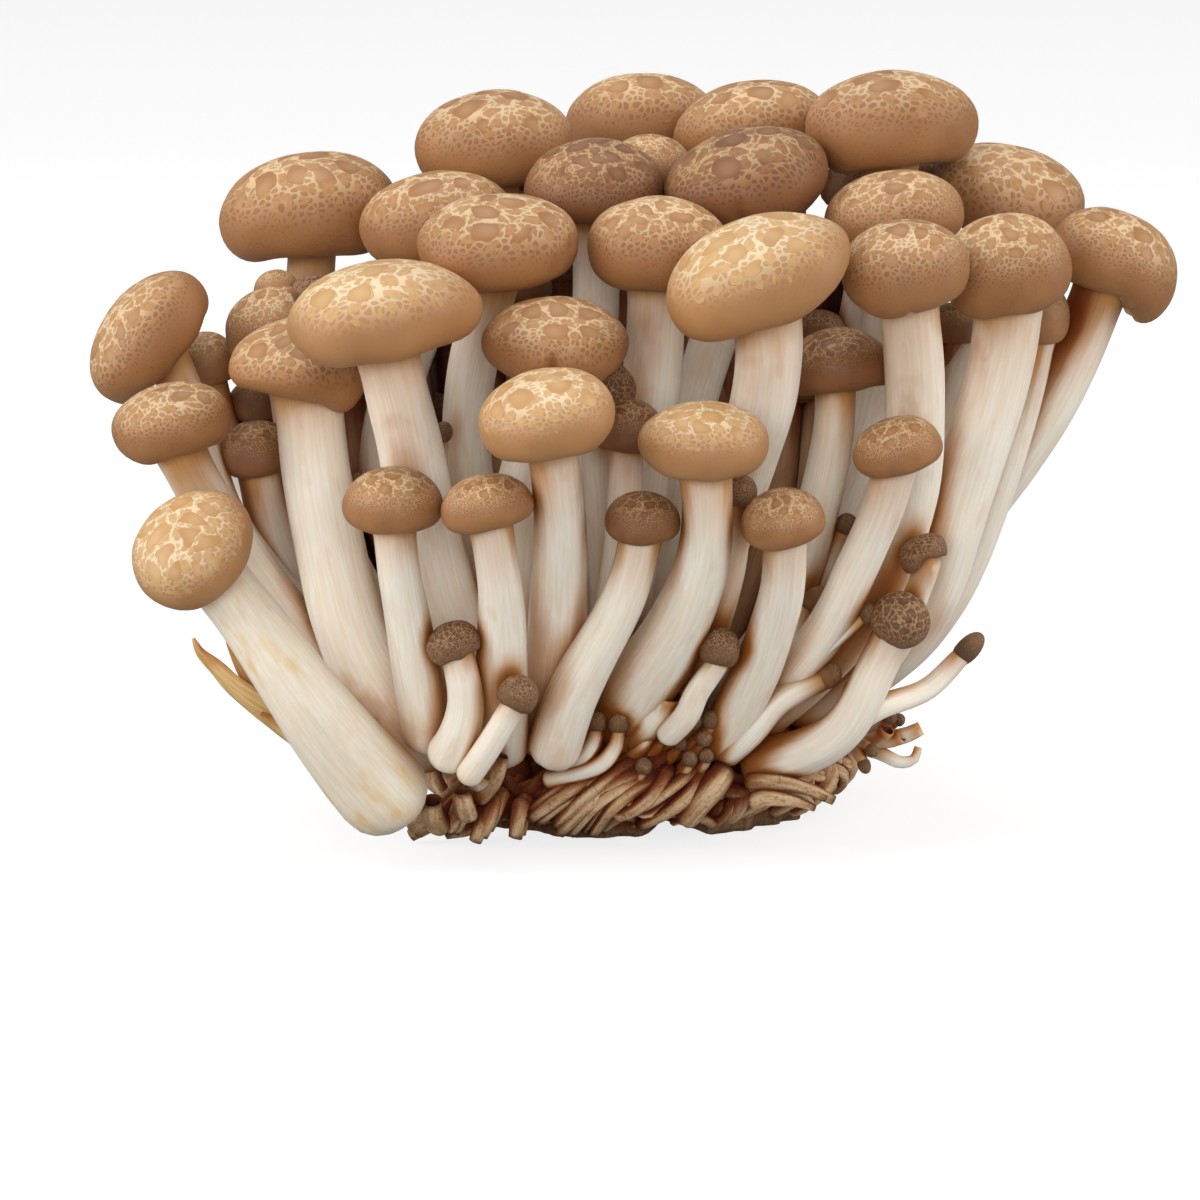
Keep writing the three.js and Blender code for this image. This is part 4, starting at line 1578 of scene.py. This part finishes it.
@dataclass
class Scraps:
    """The dried slivers on the left, the right-hand tuft and the open stub in front.

    The first SLIVERS rows of SCRAPS are the slivers.
    """

    SLIVERS = 3

    def pieces(self) -> list[Piece]:
        """Builds them.

        Returns:
            The slivers, and the tuft with the open stub.
        """
        slivers, tuft = Clay(), Clay()
        for i, strand in enumerate(SCRAPS):
            strand.build(slivers if i < self.SLIVERS else tuft, 1300 + i)
        return [Piece("dried_slivers", slivers, [Finish.DRIED_STEM], Slot.STEM),
                Piece("open_stubs", tuft, [Finish.STEM], Slot.STEM)]


# ---- The stage ----


@dataclass(frozen=True)
class Softbox:
    """A soft light: where it stands from the object's middle and what it aims at, in metres."""

    name: str
    place: tuple[float, float, float]
    size: tuple[float, float]
    watts: float


SOFTBOXES = [
    Softbox("top_softbox", (-0.12, 0.10, 0.85), (0.9, 0.7), 3.0),
    Softbox("left_softbox", (-0.75, -0.15, 0.35), (0.5, 0.7), 3.8),
    Softbox("right_softbox", (0.75, -0.1, 0.35), (0.5, 0.7), 3.4),
    Softbox("front_fill", (-0.1, -1.0, 0.32), (0.9, 0.4), 5.8),
]


@dataclass
class Studio:
    """The floor, the lights and the camera.

    aim_offset, distance and lens are in millimetres and elevation in degrees. ambient is the
    surround's strength and front_share what is left of it in front. backdrop and glow are how
    bright the surround and the floor look to the camera. floor_radius is in metres.
    """

    aim_offset: tuple[float, float, float] = (-4.5, 2.4, 28.6)
    distance: float = 750.0
    elevation: float = 12.0
    lens: float = 162.0
    ambient: float = 0.46
    front_share: float = 0.3
    backdrop: float = 1.05
    glow: float = 0.78
    floor_radius: float = 6.0

    def build(self) -> None:
        """Sets up the whole stage."""
        self._floor()
        self._world()
        self._camera()
        for box in SOFTBOXES:
            self._light(box)
        bpy.context.scene.view_settings.view_transform = "Standard"

    def _floor(self) -> None:
        """Lays a pale floor."""
        bm = bmesh.new()
        bmesh.ops.create_circle(bm, cap_ends=True, segments=64, radius=self.floor_radius)
        mesh = bpy.data.meshes.new("pale_floor")
        bm.to_mesh(mesh)
        bm.free()
        board = Board(bpy.data.materials.new("pale_paper"))
        place = board.node("TexCoord", {}).outputs["Object"]
        tone = board.mix(board.noise(place, 900.0, 2.0), tint(150, 150, 150), tint(144, 144, 144))
        seen = board.node("LightPath", {}).outputs["Is Camera Ray"]
        mesh.materials.append(board.finish(
            Base_Color=tone, Roughness=0.9, Emission_Color=(1.0, 1.0, 1.0, 1.0),
            Emission_Strength=board.math("MULTIPLY", seen, self.glow)))
        floor = bpy.data.objects.new("pale_floor", mesh)
        bpy.context.scene.collection.objects.link(floor)

    def _world(self) -> None:
        """Makes a bright surround that is dimmer in front."""
        world = bpy.data.worlds.new("bright_surround")
        b = Board(world)
        place = b.node("TexCoord", {}).outputs["Generated"]
        facing = b.node("VectorMath", {0: place, 1: (0, -1, 0)}, operation="DOT_PRODUCT")
        dim = b.ease(facing.outputs["Value"], 0.1, 0.8, self.ambient, self.ambient * self.front_share)
        seen = b.node("LightPath", {}).outputs["Is Camera Ray"]
        shown = b.node("Mix", {0: seen, 2: dim, 3: self.backdrop}).outputs[0]
        background = b.node("Background", {"Strength": shown})
        b.node("OutputWorld", {"Surface": background.outputs[0]})
        bpy.context.scene.world = world

    def _camera(self) -> None:
        """Stands the camera in front, a little above."""
        low, high = CAD_BOX
        middle = Vector(((low.x + high.x) / 2, (low.y + high.y) / 2, low.z))
        aim = middle + Vector(self.aim_offset) * MM
        rise = math.radians(self.elevation)
        back = Vector((0, -math.cos(rise), math.sin(rise)))
        data = bpy.data.cameras.new("camera")
        data.lens, data.sensor_width = self.lens, 36.0
        data.clip_start, data.clip_end = 0.05, 20.0
        camera = bpy.data.objects.new("camera", data)
        camera.location = aim + back * (self.distance * MM)
        camera.rotation_euler = (-back).to_track_quat("-Z", "Y").to_euler()
        bpy.context.scene.collection.objects.link(camera)
        bpy.context.scene.camera = camera

    def _light(self, box: Softbox) -> None:
        """Hangs one softbox.

        Args:
            box: The softbox.
        """
        data = bpy.data.lights.new(box.name, "AREA")
        data.shape = "RECTANGLE"
        data.size, data.size_y = box.size
        data.energy = box.watts
        light = bpy.data.objects.new(box.name, data)
        light.location = box.place
        aim = Vector((0, 0, 0.04)) - Vector(box.place)
        light.rotation_euler = aim.to_track_quat("-Z", "Y").to_euler()
        bpy.context.scene.collection.objects.link(light)


# ---- The cluster ----


def builders() -> list[Callable[[], list[Piece]]]:
    """Lists what builds the cluster, in order.

    Returns:
        One call for each packed mushroom and each other group of pieces.
    """
    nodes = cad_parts
    grown = sorted(number_of(node) for node in nodes if node.startswith("cap_"))
    young = sorted(number_of(node) for node in nodes if node.startswith("young_"))
    return [
        *(GrownMushroom(number).pieces for number in grown),
        *(YoungMushroom(number).pieces for number in young),
        SmallMushrooms().pieces,
        Pins().pieces,
        InnerMushrooms().pieces,
        Scraps().pieces,
        RootBase().pieces,
    ]


def main() -> None:
    """Builds the cluster and its stage."""
    logging.basicConfig(level=logging.INFO, format="%(name)s %(message)s")
    Studio().build()
    pieces = [piece for build in builders() for piece in build()]
    occlusion = Occlusion(pieces)
    for piece in pieces:
        occlusion.mark(piece.clay)
    for piece in pieces:
        piece.publish()


if __name__ == "__main__":
    main()
